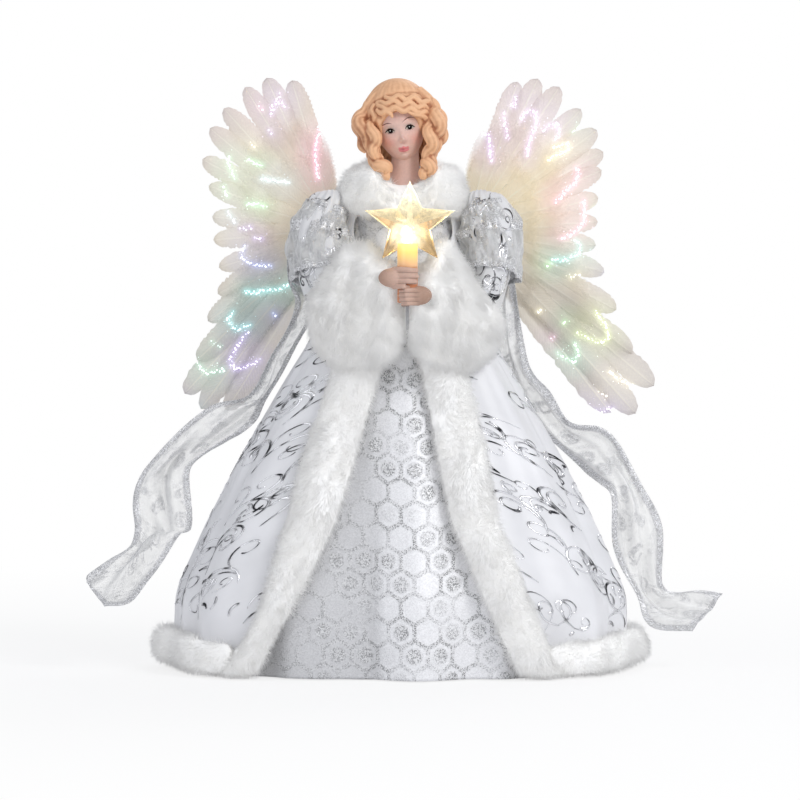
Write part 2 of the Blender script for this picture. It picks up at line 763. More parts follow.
def foil_on(name, mesh, columns, rows, spacing, size, seed, margins):
    """Lays sprigs of foil on a cloth whose grid runs row by row, by way of its flat map."""
    grid = points_of(mesh).reshape(rows + 1, columns + 1, 3)
    flat = cloth_map(grid.reshape(-1, 3), columns, rows).reshape(rows + 1, columns + 1, 2)
    along, up = np.gradient(grid, axis=1), np.gradient(grid, axis=0)
    out = unit(np.cross(along.reshape(-1, 3), up.reshape(-1, 3))).reshape(grid.shape)
    out *= np.sign(np.sum(out * (grid - grid.mean(axis=1, keepdims=True))))
    lifted = grid + out * 0.16
    ups = flat[:, columns // 2, 1]
    row_steps, column_steps = np.arange(rows + 1), np.arange(columns + 1)
    side_margin, low_margin = margins
    rng = np.random.default_rng(seed)

    def laid(a, b):
        """The place on the cloth of a place on its map."""
        row = np.interp(b, ups, row_steps)
        low = min(int(row), rows - 1)
        places = []
        for k in (low, low + 1):
            column = np.interp(a, flat[k, :, 0], column_steps)
            places.append(np.array([np.interp(column, column_steps, lifted[k, :, axis]) for axis in range(3)]))
        return places[0] + (places[1] - places[0]) * (row - low)

    def trimmed(line):
        """The part of a line before it leaves the cloth."""
        row = np.interp(line[:, 1], ups, row_steps).astype(int)
        inside = (line[:, 1] > low_margin) & (line[:, 1] < ups[-1] - 2)
        inside &= (line[:, 0] > flat[row, 0, 0] + side_margin) & (line[:, 0] < flat[row, -1, 0] - side_margin)
        return line if inside.all() else line[: int(np.argmin(inside))]

    def stroke_mesh(line, half):
        side = unit(np.gradient(line, axis=0))[:, ::-1] * np.array([-1, 1])
        t = np.linspace(0, 1, len(line))
        wide = half * (0.25 + 0.75 * np.sin(np.pi * t**0.7)) + 0.45 * half * (t > 0.93)
        near, far = (np.array([laid(*p) for p in line + side * wide[:, None] * s]) for s in (-1, 1))

        def place(u, v):
            at = np.rint(v * (len(line) - 1)).astype(int)
            return near[at] + (far - near)[at] * u[:, None]

        return grid_mesh("stroke", 1, len(line) - 1, place)

    parts = []
    for turn, level in enumerate(np.arange(low_margin, ups[-1], spacing * 0.87)):
        k = int(np.interp(level, ups, row_steps))
        first, last = flat[k, 0, 0] + side_margin, flat[k, -1, 0] - side_margin
        for k, across in enumerate(np.arange(first + spacing * (0.1 + 0.5 * (turn % 2)), last, spacing)):
            start = (across + rng.normal() * 2, level + rng.normal() * 2)
            hand = 1 if (k + turn) % 2 else -1
            for line, half in sprig(start, rng.uniform(0.5, 2.6), size, hand, rng):
                line = trimmed(line)
                if len(line) >= 6:
                    parts.append(stroke_mesh(line, half))
    print(name, len(parts), "strokes")
    return keep(name, thickened(joined(name, parts), 0.12), foil_metal)


# %% Robe cloth
ROBE_GRID = (288, 168)
robe = robe_mesh(*ROBE_GRID)
cuts = {"robe_cloth": cut_of(robe)}
foil_on("robe_foil", robe, *ROBE_GRID, 31, 52, 37, (4, 12))
keep("robe_cloth", thickened(robe, 0.9), robe_satin, ["robe"])
print("robe cut", cuts["robe_cloth"])


# %% [markdown]
# ## Gown
# The gown shows between the robe's front edges. It is a gathered cloth with narrow folds that get deeper
# towards the hem, and it hangs a little clear of the robe.

# %% Gown
def gown_mesh(columns, rows):
    """The gown all round, with narrow folds and a few broad ridges in front."""
    bottom, top = 0.6, 0.61 * FIGURE_HEIGHT
    turns = np.random.default_rng(5).uniform(0, 2 * np.pi, 4)
    ridges = ((0.11, 0.17, 6.5), (0.47, 0.1, 3), (-0.15, 0.06, -2.6))

    def place(u, v):
        z = bottom + (top - bottom) * v
        theta = (u - 0.5) * 2 * np.pi
        depth = 5.0 * (1 + (0.12 - 1) * v)
        wander = 0.35 * np.sin(z / 47 + turns[0]) + 0.2 * np.sin(2 * theta + turns[1])
        fold = (1 - np.cos(12 * theta + wander)) / 2
        fine = 0.35 * np.sin(31 * theta + turns[2]) * (1 - v)
        front = sum(high * np.exp(-(((theta - at) / wide) ** 2)) for at, wide, high in ridges)
        return skirt_point(theta, z, 3.2 + depth * fold + fine - front * (1 - v) ** 0.6)

    return cloth_grid("gown_cloth", columns, rows, place)


gown = gown_mesh(400, 120)
cuts["gown_cloth"] = cut_of(gown)
keep("gown_cloth", thickened(sewn(gown, outward=False), 0.8), gown_brocade, ["gown_skirt"])
print("gown cut", cuts["gown_cloth"])


# %% [markdown]
# ## Sleeves and bodice
# The sleeves are short bells of the same foil satin, pleated where they go into the shoulder. The bodice is
# a piece of the gown's brocade drawn tight over the chest, with a deep fold at one side.

# %% Sleeves
SHOULDER = 230.0
SIDE_SHIFT = 2.5  # the shoulders' middle lies a little to the figure's left
signs = {"right": -1, "left": 1}
# Each row: across, back, up, and the half widths across and over, in hundreds of millimetres from the shoulder
sleeve_rows = np.array([
    [0.38, 0, 0.145, 0.03, 0.05], [0.385, -0.01, 0.115, 0.09, 0.11], [0.42, -0.03, 0.02, 0.125, 0.14],
    [0.44, -0.07, -0.1, 0.13, 0.17], [0.43, -0.11, -0.24, 0.12, 0.19], [0.4, -0.14, -0.37, 0.1, 0.16],
    [0.38, -0.16, -0.47, 0.06, 0.1],
])


def arm_frame(side, table, drop=0):
    """Places along an arm and the two directions across it, for rows of the sleeve's table."""
    x, y, z = table[:, 0] * 100, table[:, 1] * 100, table[:, 2] * 100
    centres = np.stack([signs[side] * x + SIDE_SHIFT, y, SHOULDER + z - drop], 1)
    along = unit(np.gradient(centres, axis=0))
    across = unit(np.cross(along, np.array([0, 1, 0])))
    return centres, across, np.cross(across, along)


def sleeve_mesh(side, columns, rows):
    table, _ = curve_through(sleeve_rows, rows + 1)
    frame_of_arm = arm_frame(side, table)

    def swell(angle, v):
        pleat = 0.5 * np.cos(17 * angle + 0.6 * np.sin(v * 5)) * np.clip(1.1 - 1.8 * v, 0.15, 1)
        sag = 0.9 * np.sin(3 * angle + 7 * v) * held(v * 2)
        puff = 1.6 * np.sin(9 * v) * np.cos(5 * angle + 4 * v) * held(v * 3)
        return pleat + sag + puff * 0.6

    def half_a(row, angle, v):
        return table[row, 3] * 100 + swell(angle, v)

    def half_b(row, angle, v):
        return table[row, 4] * 100 + swell(angle, v)

    return cloth_grid("sleeve_cloth_" + side, columns, rows, ring_place(rows, *frame_of_arm, half_a, half_b))


SLEEVE_GRID = (128, 90)
for side in signs:
    name = "sleeve_cloth_" + side
    sleeve = sleeve_mesh(side, *SLEEVE_GRID)
    cuts[name] = cut_of(sleeve)
    foil_on("sleeve_foil_" + side, sleeve, *SLEEVE_GRID, 17, 34, 41 + len(side), (2, 6))
    keep(name, thickened(sewn(sleeve), 0.7), sleeve_satin, ["sleeve_" + side])
    print(name, cuts[name])

# %% Bodice
torso_heights = np.array([182.3, 190, 200, 215, 228, 238, 243, 247])
torso_halves = np.array([24, 19, 18, 23, 26.5, 23.5, 14, 7.5])
torso_depths = np.array([14.8, 12.5, 12, 13, 13, 11, 9, 7])


def bodice_mesh(columns, rows):
    """The bodice lies on the chest, with a deep fold at its right side."""
    bottom, top, off = 185.6, 233, 1.9

    def place(u, v):
        z = bottom + (top - bottom) * v
        theta = (u - 0.5) * 2 * np.pi
        a = eased(torso_halves, torso_heights, z, 3) + off
        b = eased(torso_depths, torso_heights, z, 3) + off
        x = a * np.sin(theta)
        crease = -1.6 * np.exp(-((x + 19.5 + 0.15 * (z - 210)) ** 2) / 1.8) * held(np.cos(theta) * 3)
        soft = 0.35 * np.sin(9 * theta + z / 6.0) + 0.25 * np.sin(17 * theta - z / 4.0)
        return np.stack([(a + soft) * np.sin(theta), -(b + soft + crease) * np.cos(theta), z], 1)

    return cloth_grid("bodice_cloth", columns, rows, place)


bodice = bodice_mesh(260, 80)
cuts["bodice_cloth"] = cut_of(bodice)
keep("bodice_cloth", thickened(sewn(bodice, outward=False), 0.8), gown_brocade, ["bodice"])


# %% [markdown]
# ## Fur
# The collar, cuffs and all bands are short fur fabric over a soft stuffing. Each is made from its solid,
# smoothed until no facet shows, with many fine hairs on it that lean and gather in tufts. The dense hairs
# hide the skin under them, and their tips make the soft edge that the photograph shows.

# %% Fur skin
def smooth_copy(name, source, voxel, turns, factor=0.6):
    """A copy of an object's shape, remeshed to even small faces and smoothed."""
    solid = bpy.data.objects[source]
    mesh = solid.data.copy()
    with worked(mesh) as bm:
        bmesh.ops.transform(bm, matrix=solid.matrix_world, verts=bm.verts)
        bmesh.ops.remove_doubles(bm, verts=bm.verts, dist=1e-6)
    holder = placed(name + "_draft", mesh)
    remesh = holder.modifiers.new("remesh", "REMESH")
    remesh.mode = "VOXEL"
    remesh.voxel_size = voxel * MM
    smooth = holder.modifiers.new("smooth", "SMOOTH")
    smooth.factor = factor
    smooth.iterations = turns
    bpy.context.view_layer.update()
    seen = holder.evaluated_get(bpy.context.evaluated_depsgraph_get())
    made = bpy.data.meshes.new_from_object(seen)
    made.name = name
    bpy.data.objects.remove(holder)
    bpy.data.meshes.remove(mesh)
    return made


def spots_on(mesh, count, seed):
    """Seeded places spread evenly over a mesh, with their outward directions."""
    mesh.calc_loop_triangles()
    triangles = points_of(mesh)[mesh_values(mesh.loop_triangles, "vertices", 3, np.int32)]
    edge_a, edge_b = triangles[:, 1] - triangles[:, 0], triangles[:, 2] - triangles[:, 0]
    normals = np.cross(edge_a, edge_b)
    sizes = np.linalg.norm(normals, axis=1)
    rng = np.random.default_rng(seed)
    at = np.searchsorted(np.cumsum(sizes) / sizes.sum(), (np.arange(count) + rng.random(count)) / count)
    at = np.clip(at, 0, len(sizes) - 1)
    r, s = rng.random(count), rng.random(count)
    flip = r + s > 1
    r[flip], s[flip] = 1 - r[flip], 1 - s[flip]
    return triangles[at, 0] + r[:, None] * edge_a[at] + s[:, None] * edge_b[at], unit(normals[at]), rng


# %% Fur hairs
def hairs_on(name, mesh, count, length, width, seed, droop, gather):
    """Many tapered hairs that stand out of a mesh, droop and gather in tufts."""
    roots, out, rng = spots_on(mesh, count, seed)
    down = np.array([0, 0, -1])
    tuft = drift(roots, 7, seed + 1) * gather * 0.7 + drift(roots, 1.8, seed + 2) * gather * 0.35
    way = unit(out + tuft + droop * down * 0.6 + rng.normal(size=(count, 3)) * 0.16)
    bend = unit(way + droop * down + tuft * 0.5)
    shape, faces = hair_template()
    side = unit(np.cross(way, np.array([0.31, 0.52, 0.79])))
    over = np.cross(side, way)
    long = length * rng.uniform(0.6, 1.25, count)
    wide = width * rng.uniform(0.7, 1.2, count)
    t = shape[:, 2][None, :, None]
    stem = way[:, None, :] * t + (bend - way)[:, None, :] * t**2 * 0.9
    ring = shape[None, :, :1] * side[:, None, :] + shape[None, :, 1:2] * over[:, None, :]
    places = (roots - out * 0.3)[:, None, :] + stem * long[:, None, None] + ring * wide[:, None, None]
    places = places.reshape(-1, 3)
    places[:, 2] = np.maximum(places[:, 2], 0.3)
    return mesh_of_copies(name, places, faces, count)


def fur_white(name, colour, tip, glow):
    """Long white fibres: pale and hardly glossy; light that is passed on among them is a faint glow."""
    sheen = {"Specular_IOR_Level": 0.15, "Sheen_Weight": 0.5, "Sheen_Roughness": 0.5}
    paint, tree, shader = finish_of(name, colour, 0.85, **sheen)
    where = place_of(tree)
    patch = spread(noise(where, 260, 2), 0.35, 0.65)
    glowing = {"Emission_Color": (1, 0.985, 0.96, 1), "Emission_Strength": glow}
    feed(shader, Base_Color=blend(patch, colour, tip), **glowing)
    bump(shader, noise(where, 1400, 2), 0.3, 0.0003)
    return paint


plush = fur_white("fur_plush", (0.91, 0.905, 0.89, 1), (0.96, 0.96, 0.955, 1), 0.13)
cuff_plush = fur_white("cuff_plush", (0.92, 0.915, 0.9, 1), (0.97, 0.97, 0.965, 1), 0.17)


def fur_piece(name, source, count, length, voxel, turns, seed, droop, gather, shape, paint=plush):
    """A padded piece of fur made from its solid; shape moves its smoothed points first."""
    skin = smooth_copy(name, source, voxel, turns)
    move_points(skin, shape(points_of(skin)))
    skin.update()
    hairs = hairs_on(name + "_hairs", skin, count, length, 0.14, seed, droop, gather)
    piece = keep(name, joined(name, [skin, hairs]), paint, [source])
    print(name, len(piece.data.polygons), "faces")


def swollen(places, centre, half, amount):
    """Pushes the points near a place outwards, as where stuffing is pressed into a bulge."""
    away = (places - np.array(centre)) / np.array(half)
    near = np.exp(-np.sum(away**2, axis=1))[:, None]
    return places + near * np.array(amount, float)


def collar_shape(p):
    """The collar opens in a wide U below the chin, and stands higher at its two sides."""
    p = p.copy()
    front = held(-p[:, 1] / 6)
    across = held(1 - np.abs((p[:, 0] - 2.2) / 16) ** 3)
    high = held((p[:, 2] - 236) / 14)
    p[:, 2] -= 11.0 * front * across * high
    return p


def hem_shape(p):
    """The band tapers under the front bands at its two ends, and lifts a little at the sides."""
    p = p.copy()
    front = p[:, 1] < -35
    for limit, sign in ((-88, 1), (76, -1)):
        over = (p[:, 0] - limit) * sign
        inside = front & (over > 0) & (p[:, 0] * sign < 10)
        p[inside, 0] = limit + sign * over[inside] * 0.3
        p[inside, 1] += np.minimum(over[inside] * 0.5, 5)
    p[:, 2] += 4.0 * held(np.abs(p[:, 0]) / 120) ** 4
    return p


def trim_shape(side):
    """The front bands run down over the ends of the hem's band."""

    def shape(p):
        p = p.copy()
        low = p[:, 2].min()
        below = held((36 - p[:, 2]) / (36 - low))
        p[:, 2] -= below * (low - 2.2)
        p[:, 1] -= 4.5 * below
        p[:, 0] += signs[side] * 1.5 * below
        return p

    return shape


# For each cuff: the bulge under the wrist and the one towards the middle (place, half sizes, push), then the
# side from which the mouth is drawn in: its place across, the share and the heights over which it grows
cuff_bulges = {
    "right": (((-13, -55, 204), (13, 16, 12), (7, -9, 1)), ((-9, -56, 172), (12, 16, 16), (4.5, -2, 0))),
    "left": (((20, -54, 194), (13, 16, 12), (-5, -9, -1)), ((16, -56, 174), (12, 16, 16), (-4.5, -2, 0))),
}
cuff_mouths = {"right": (-14, 0.18, 192, 16), "left": (12, 0.42, 180, 26)}


def cuff_shape(side):
    """The cuff's mouth closes round the wrist, and its lower side swells towards the middle."""
    sign = signs[side]
    at, share, low, over = cuff_mouths[side]

    def shape(p):
        for bulge in cuff_bulges[side]:
            p = swollen(p, *bulge)
        drawn = 1 - share * held((p[:, 2] - low) / over)
        p[:, 0] = np.where(p[:, 0] * sign > at * sign, at + (p[:, 0] - at) * drawn, p[:, 0])
        p[:, 1] -= 0.9 * np.sin(p[:, 0] / 3.1 + p[:, 2] / 4.7) * np.sin(p[:, 2] / 3.9 - p[:, 0] / 5.3 + 1)
        return p

    return shape


# Each row: the piece, its solid, hairs, their length, voxel, smoothing turns, seed, droop, gather, shape
fur_piece("hem_fur", "hem_trim", 36000, 4.2, 2.4, 8, 21, 0.35, 0.5, hem_shape)
for side, seed in (("right", 22), ("left", 23)):
    fur_piece("front_fur_" + side, "front_trim_" + side, 28000, 4.2, 1.7, 10, seed, 0.45, 0.5, trim_shape(side))
for side, seed in (("right", 24), ("left", 25)):
    fur_piece("cuff_fur_" + side, "cuff_" + side, 32000, 6, 1.8, 10, seed, 0.45, 0.55, cuff_shape(side), cuff_plush)
fur_piece("collar_fur", "collar", 26000, 4.2, 1.6, 8, 26, 0.5, 0.5, collar_shape)


# %% [markdown]
# ## Wings
# The wings are the figure's finest work: three layers of real feathers on each wing, laid like tiles from
# the longest at the rim to the shortest at the root. Each feather is a thin blade with a shaft, a rounded
# tip and edges nicked where the barbs part. Light fibres end along the rims of the middle layer, so these
# rims show rows of bright points, and the barbs near them take up the colour of the light.

# %% Wing surface and tables
WING_REACH = 116.7
WING_ROOT = (34, 225.5)
wing_layers = {
    "primaries": {
        "behind": 2.7, "extra": 1,
        "right": (
            [16, 24.3, 33.5, 42.8, 51.1, 61.8, 70.6, 82.9, 94.6, 108.1, 117.7, 126.3, 132, 136.8, 142.7, 150],
            [
                0.694, 0.741, 0.746, 0.733, 0.711, 0.672, 0.599, 0.552, 0.543, 0.541, 0.599, 0.694, 0.84, 1, 0.996,
                0.931,
            ],
        ),
        "left": (
            [18.3, 25.9, 33.6, 42.6, 51.1, 58.7, 66.5, 76.1, 86, 97.1, 107.6, 117.6, 125.5, 129.2, 135.8, 142],
            [0.69, 0.735, 0.75, 0.745, 0.73, 0.7, 0.65, 0.61, 0.59, 0.58, 0.64, 0.755, 0.92, 1.08, 1.1, 1.035],
        ),
    },
    "secondaries": {
        "behind": 0, "extra": 2,
        "right": (
            [12, 22, 32.7, 44.1, 55.5, 67.7, 80.9, 95.3, 109.4, 121.6, 132, 141],
            [0.47, 0.55, 0.58, 0.57, 0.54, 0.5, 0.46, 0.44, 0.47, 0.56, 0.7, 0.72],
        ),
        "left": (
            [12, 21, 31, 41.5, 52, 63, 75, 88, 101, 113, 124, 134],
            [0.47, 0.55, 0.58, 0.58, 0.56, 0.53, 0.5, 0.48, 0.51, 0.62, 0.77, 0.8],
        ),
    },
    "coverts": {
        "behind": -2.7, "extra": 2,
        **dict.fromkeys(
            ("right", "left"),
            ([14, 33, 53, 73, 93, 111, 125, 138], [0.38, 0.42, 0.41, 0.37, 0.34, 0.37, 0.43, 0.46]),
        ),
    },
}


def wing_point(sign, x, z, behind):
    """Place on a wing for a reach outwards, a rise above the root, and a distance behind the middle layer."""
    cup = 9.0 * (np.hypot(x, z) / WING_REACH) ** 2
    return np.stack([sign * (WING_ROOT[0] + x), 23.2 + 0.18 * x - cup + behind, WING_ROOT[1] + z], -1)


def between_feathers(values, extra):
    """Adds feathers between each two of a table."""
    values = np.array(values, float)
    steps = np.linspace(0, len(values) - 1, (len(values) - 1) * extra + 1)
    return np.interp(steps, np.arange(len(values)), values)


# %% Light of the fibres
# Each row of lights has a colour and the places that it runs through: across from the middle, and up
light_tones = {
    "mint": (0.35, 1, 0.68), "green": (0.4, 1, 0.45), "lime": (0.75, 1, 0.35), "cream": (1, 0.93, 0.62),
    "pink": (1, 0.42, 0.85), "lilac": (0.55, 0.42, 1), "violet": (0.42, 0.3, 1), "blue": (0.22, 0.36, 1),
    "sky": (0.4, 0.75, 1), "cyan": (0.2, 0.9, 1),
}
light_rows = {
    "right": [
        ("mint", 89, 263, 89, 258, 86, 252), ("mint", 79, 262, 72, 259), ("mint", 92, 248, 90, 243),
        ("mint", 80, 239, 70, 238), ("pink", 42, 277, 44, 268, 44, 259, 43, 252),
        ("lilac", 67, 285, 66, 290, 62, 292, 60, 289), ("lilac", 63, 296, 65, 292), ("violet", 68, 277, 67, 275),
        ("cream", 77, 270, 76, 268), ("sky", 90, 235, 86, 229), ("violet", 83, 226, 78, 227),
        ("violet", 76, 221, 72, 221), ("blue", 81, 217, 83, 212, 80, 209, 75, 207, 67, 207),
        ("cyan", 81, 194, 77, 193, 70, 194, 63, 195, 55, 198), ("cyan", 87, 183, 90, 179, 86, 174, 78, 176),
        ("violet", 80, 172, 83, 168, 87, 162, 89, 157, 86, 153, 80, 155, 73, 158), ("blue", 65, 181),
        ("mint", 98, 167, 94, 165), ("mint", 106, 156, 101, 151, 92, 153), ("cyan", 107, 131), ("lilac", 116, 135),
        ("pink", 72, 288), ("sky", 72, 252, 58, 250),
    ],
    "left": [
        ("violet", 42, 275, 45, 275, 46, 268, 47, 261), ("lilac", 53, 286, 54, 279, 55, 273),
        ("lilac", 57, 290, 59, 289, 59, 294),
        ("lilac", 62, 282, 65, 287, 68, 287, 70, 286, 70, 280, 67, 273, 65, 264),
        ("lilac", 74, 277, 77, 280, 81, 280, 82, 275, 80, 272), ("mint", 92, 279, 89, 276),
        ("cream", 79, 268, 84, 270, 87, 270, 87, 267, 76, 262),
        ("pink", 91, 258, 92, 255, 90, 249, 87, 247, 83, 243, 80, 240),
        ("pink", 95, 241, 95, 229, 90, 224, 86, 222, 83, 221), ("green", 100, 236),
        ("cyan", 91, 220, 93, 217, 92, 213, 85, 210, 79, 210), ("cyan", 99, 213), ("blue", 106, 202),
        ("green", 76, 207), ("green", 84, 177), ("cream", 88, 201, 92, 203), ("cream", 71, 183),
        ("lime", 101, 183, 103, 180, 106, 176, 108, 171, 107, 168, 102, 167, 98, 169, 91, 172),
        ("mint", 90, 167, 91, 165, 92, 161, 90, 157, 85, 159, 81, 162), ("pink", 78, 169),
        ("cream", 108, 152, 112, 149, 117, 146, 121, 144), ("cream", 103, 142, 106, 139),
        ("lilac", 95, 133, 103, 131, 110, 133),
    ],
}


def light_spots(side, spacing=1.5):
    """Evenly spaced places along the rows of lights, across and up, with their colours."""
    places, colours = [], []
    for tone, *points in light_rows[side]:
        line = np.array(points, float).reshape(-1, 2)
        if len(line) == 1:
            line = np.concatenate([line, line + 1.2])
        steps = np.linalg.norm(np.diff(line, axis=0), axis=1)
        run = np.concatenate([[0], np.cumsum(steps)])
        along = np.linspace(0, run[-1], max(int(run[-1] / spacing), 2))
        places.append(np.stack([np.interp(along, run, line[:, k]) for k in (0, 1)], 1))
        colours.append(np.tile(light_tones[tone], (len(along), 1)))
    return np.concatenate(places), np.concatenate(colours)


def light_near(side, points, reach):
    """Light that falls on each point from the rows near it."""
    spots, colours = light_spots(side)
    across = np.abs(points[:, 0])
    total = np.zeros((len(points), 3))
    weight = np.zeros(len(points))
    for (x, z), colour in zip(spots, colours):
        near = np.exp(-((across - x) ** 2 + (points[:, 2] - z) ** 2) / reach**2)
        total += near[:, None] * colour
        weight += near
    return total / np.maximum(weight, 1e-6)[:, None], 1 - np.exp(-weight)


def plume_tint(points):
    """The feathers' own colour: pinkish beige above, cream at the root, pale grey below, lilac tips above."""
    height = held((points[:, 2] - 140) / 150)[:, None]
    low, middle, high = (np.array(c) for c in ((0.68, 0.63, 0.61), (0.82, 0.74, 0.62), (0.79, 0.7, 0.61)))
    tint = np.where(height < 0.5, low + (middle - low) * height * 2, middle + (high - middle) * (height * 2 - 1))
    away = np.hypot(np.abs(points[:, 0]) - 40, points[:, 2] - 225)[:, None]
    root = np.exp(-((away / 42) ** 2))
    tint = tint + (np.array((0.93, 0.85, 0.66)) - tint) * root * 0.7
    tip = held((away - 62) / 25) * held((points[:, 2:3] - 225) / 25)
    return tint + (np.array((0.72, 0.62, 0.8)) - tint) * tip * 0.3


# %% One feather
def feather_mesh(side, degrees, length, width, behind, fade, seed):
    """A blade along a ray of the wing, with a shaft, a cupped web, a rounded tip and nicked edges."""
    columns, rows = 14, 64
    rng = np.random.default_rng(seed)
    ray = math.radians(degrees)
    way = np.array([math.sin(ray), math.cos(ray)])
    across = np.array([way[1], -way[0]])
    start = 6.0
    bow = rng.uniform(-0.015, 0.02)
    nicks = list(zip(rng.uniform(0.15, 0.95, 9), rng.choice([-1, 1], 9), rng.uniform(0.05, 0.26, 9)))
    swirl = rng.uniform(0, 6.28)
    tilt = rng.uniform(-0.05, 0.05)
    blunt = rng.uniform(1.7, 2.3)

    def place(u, v):
        s = (u - 0.5) * 2
        along = start + (length - start) * v
        wide = width / 2 * np.clip(np.sqrt(held(v / 0.22)) * 0.55 + 0.45 * held(v / 0.5), 0.1, 1)
        tip = held(1 - (1 - v) * length / (1.25 * width))
        wide = wide * np.sqrt(held(1 - tip**blunt))
        comb = 0.07 * np.sin(v * length * 2.4 + swirl) + 0.06 * np.sin(v * length * 5.1 + 2 * swirl)
        cut = np.zeros_like(v)
        for at, nicked_side, deep in nicks:
            gap = held(1 - np.abs(v + 0.03 * np.abs(s) - at) / 0.012)
            cut += gap * deep * (np.sign(s) == nicked_side)
        wide = wide * (1 - np.abs(s) ** 3 * (np.abs(comb) + cut))
        side_off = s * wide + bow * length * v**2
        x = along * way[0] + side_off * across[0]
        z = along * way[1] + side_off * across[1]
        cup = -1.5 * (1 - s**2) * held(v * 3) * (width / 14)
        shaft = -0.5 * np.exp(-((s / 0.09) ** 2)) * (1 - 0.7 * v)
        lap = 0.5 * s * 0.9
        lift = -1.4 * v**4 + tilt * along * 0.3
        return wing_point(signs[side], x, z, behind + cup + shaft + lap + lift)

    def mapped(u, v, p):
        return np.stack([(u - 0.5) * width, v * (length - start)], 1)

    mesh = grid_mesh("feather", columns, rows, place, uv=mapped)
    v = np.repeat(np.linspace(0, 1, rows + 1), columns + 1)
    s = np.abs(np.tile(np.linspace(-1, 1, columns + 1), rows + 1))
    paint_value(mesh, "fade", fade * held(np.maximum((v - 0.6) / 0.4, 0.8 * (s - 0.6) / 0.4)))
    return mesh


# %% Feather finish
def feather_finish():
    """Barbs slant up from the shaft; the web is thin, so it glows a little in the light of the fibres."""
    paint, tree, shader = finish_of(
        "feather_web", (0.8, 0.74, 0.66, 1), 0.62, Sheen_Weight=0.25, Sheen_Roughness=0.4, Emission_Strength=0.75
    )
    where = place_of(tree, "UV")
    across, along, _ = parts_of(where)
    off = maths("ABSOLUTE", across)
    slanted = plus(minus(along, times(off, 1.15)), times(noise(where, 0.35, 2), 2.2))
    barbs, coarse = (maths("SINE", times(slanted, rate)) for rate in (9, 3.1))
    fine = plus(times(barbs, 0.6), times(coarse, 0.4))
    shaft = spread(off, 0.55, 0.3)
    lit = blend(spread(fine, -1, 1, 0, 0.3), painted(tree, "tint"), (0.97, 0.94, 0.88, 1))
    dark = blend(spread(coarse, 0.55, 1, 0, 0.22), lit, (0.5, 0.42, 0.36, 1))
    streak = spread(noise(where, 0.8, 2), 0.52, 0.62, 0, 0.3)
    pale = blend(larger(streak, times(shaft, 0.8)), dark, (0.93, 0.88, 0.78, 1))
    feed(shader, Base_Color=pale, Emission_Color=painted(tree, "glow"))
    bump(shader, plus(fine, times(shaft, 2)), 0.6, 0.00018)
    clear = node(tree, "BsdfTranslucent", in__Color=lit)
    web = node(tree, "MixShader", in__0=0.25, in__1=shader.outputs[0], in__2=clear.outputs[0])
    thin = dice_of(painted(tree, "fade"))[0]
    worn = plus(thin, spread(barbs, -1, 1, -0.18, 0.18))
    gone = times(spread(worn, 0.25, 0.8, 0, 1), spread(thin, 0.02, 0.2))
    nothing = node(tree, "BsdfTransparent").outputs[0]
    shown(tree, node(tree, "MixShader", in__0=gone, in__1=web.outputs[0], in__2=nothing).outputs[0])
    return paint


web = feather_finish()


# %% Wings and their light points
# For each layer: a seed, how far its edges fade, and how strongly it takes up the light
layer_facts = {"primaries": (3, 0, 0.75), "secondaries": (4, 1, 1), "coverts": (5, 1, 0.8)}
warm_tints = {"right": (0.24, 0.21, 0.18), "left": (0.27, 0.24, 0.13)}


def wing_piece(side, layer):
    facts = wing_layers[layer]
    seed, fade, force = layer_facts[layer]
    degrees, lengths = (between_feathers(table, facts["extra"]) for table in facts[side])
    rng = np.random.default_rng(seed + (10 if side == "left" else 0))
    meshes = []
    for k, (turn, length) in enumerate(zip(degrees, lengths)):
        width = 12.3 * (length / 0.65) ** 0.32 if layer == "primaries" else 15.5
        if facts["extra"] > 1 and k % 2:
            length *= rng.uniform(0.93, 0.98)
        turn = turn + rng.uniform(-0.8, 0.8)
        length = length * WING_REACH * rng.uniform(0.99, 1.01)
        width = width * rng.uniform(0.94, 1.08)
        behind = facts["behind"] + 0.9 * (k % 2) - 0.45
        meshes.append(feather_mesh(side, turn, length, width, behind, fade, int(rng.integers(1 << 30))))
    whole = joined("wing_" + layer + "_" + side, meshes)
    points = points_of(whole)
    close, bright = light_near(side, points, 1.6)
    around, soft = light_near(side, points, 7)
    tint = plume_tint(points)
    pull = (0.22 * soft * force)[:, None]
    paint_points(whole, "tint", tint + (0.45 + 0.55 * around - tint) * pull)
    glow = close * (0.5 * bright**1.2)[:, None] + around * (0.08 * soft)[:, None]
    rise, reach = points[:, 2] - 245, np.abs(points[:, 0]) - 60
    warm = np.exp(-((reach / 34) ** 2) - (rise / np.where(rise < 0, 27, 38)) ** 2)[:, None]
    glow = glow + warm * np.array(warm_tints[side])
    paint_points(whole, "glow", glow * force)
    return keep("wing_feathers_" + layer + "_" + side, whole, web, ["wing_" + layer + "_" + side])


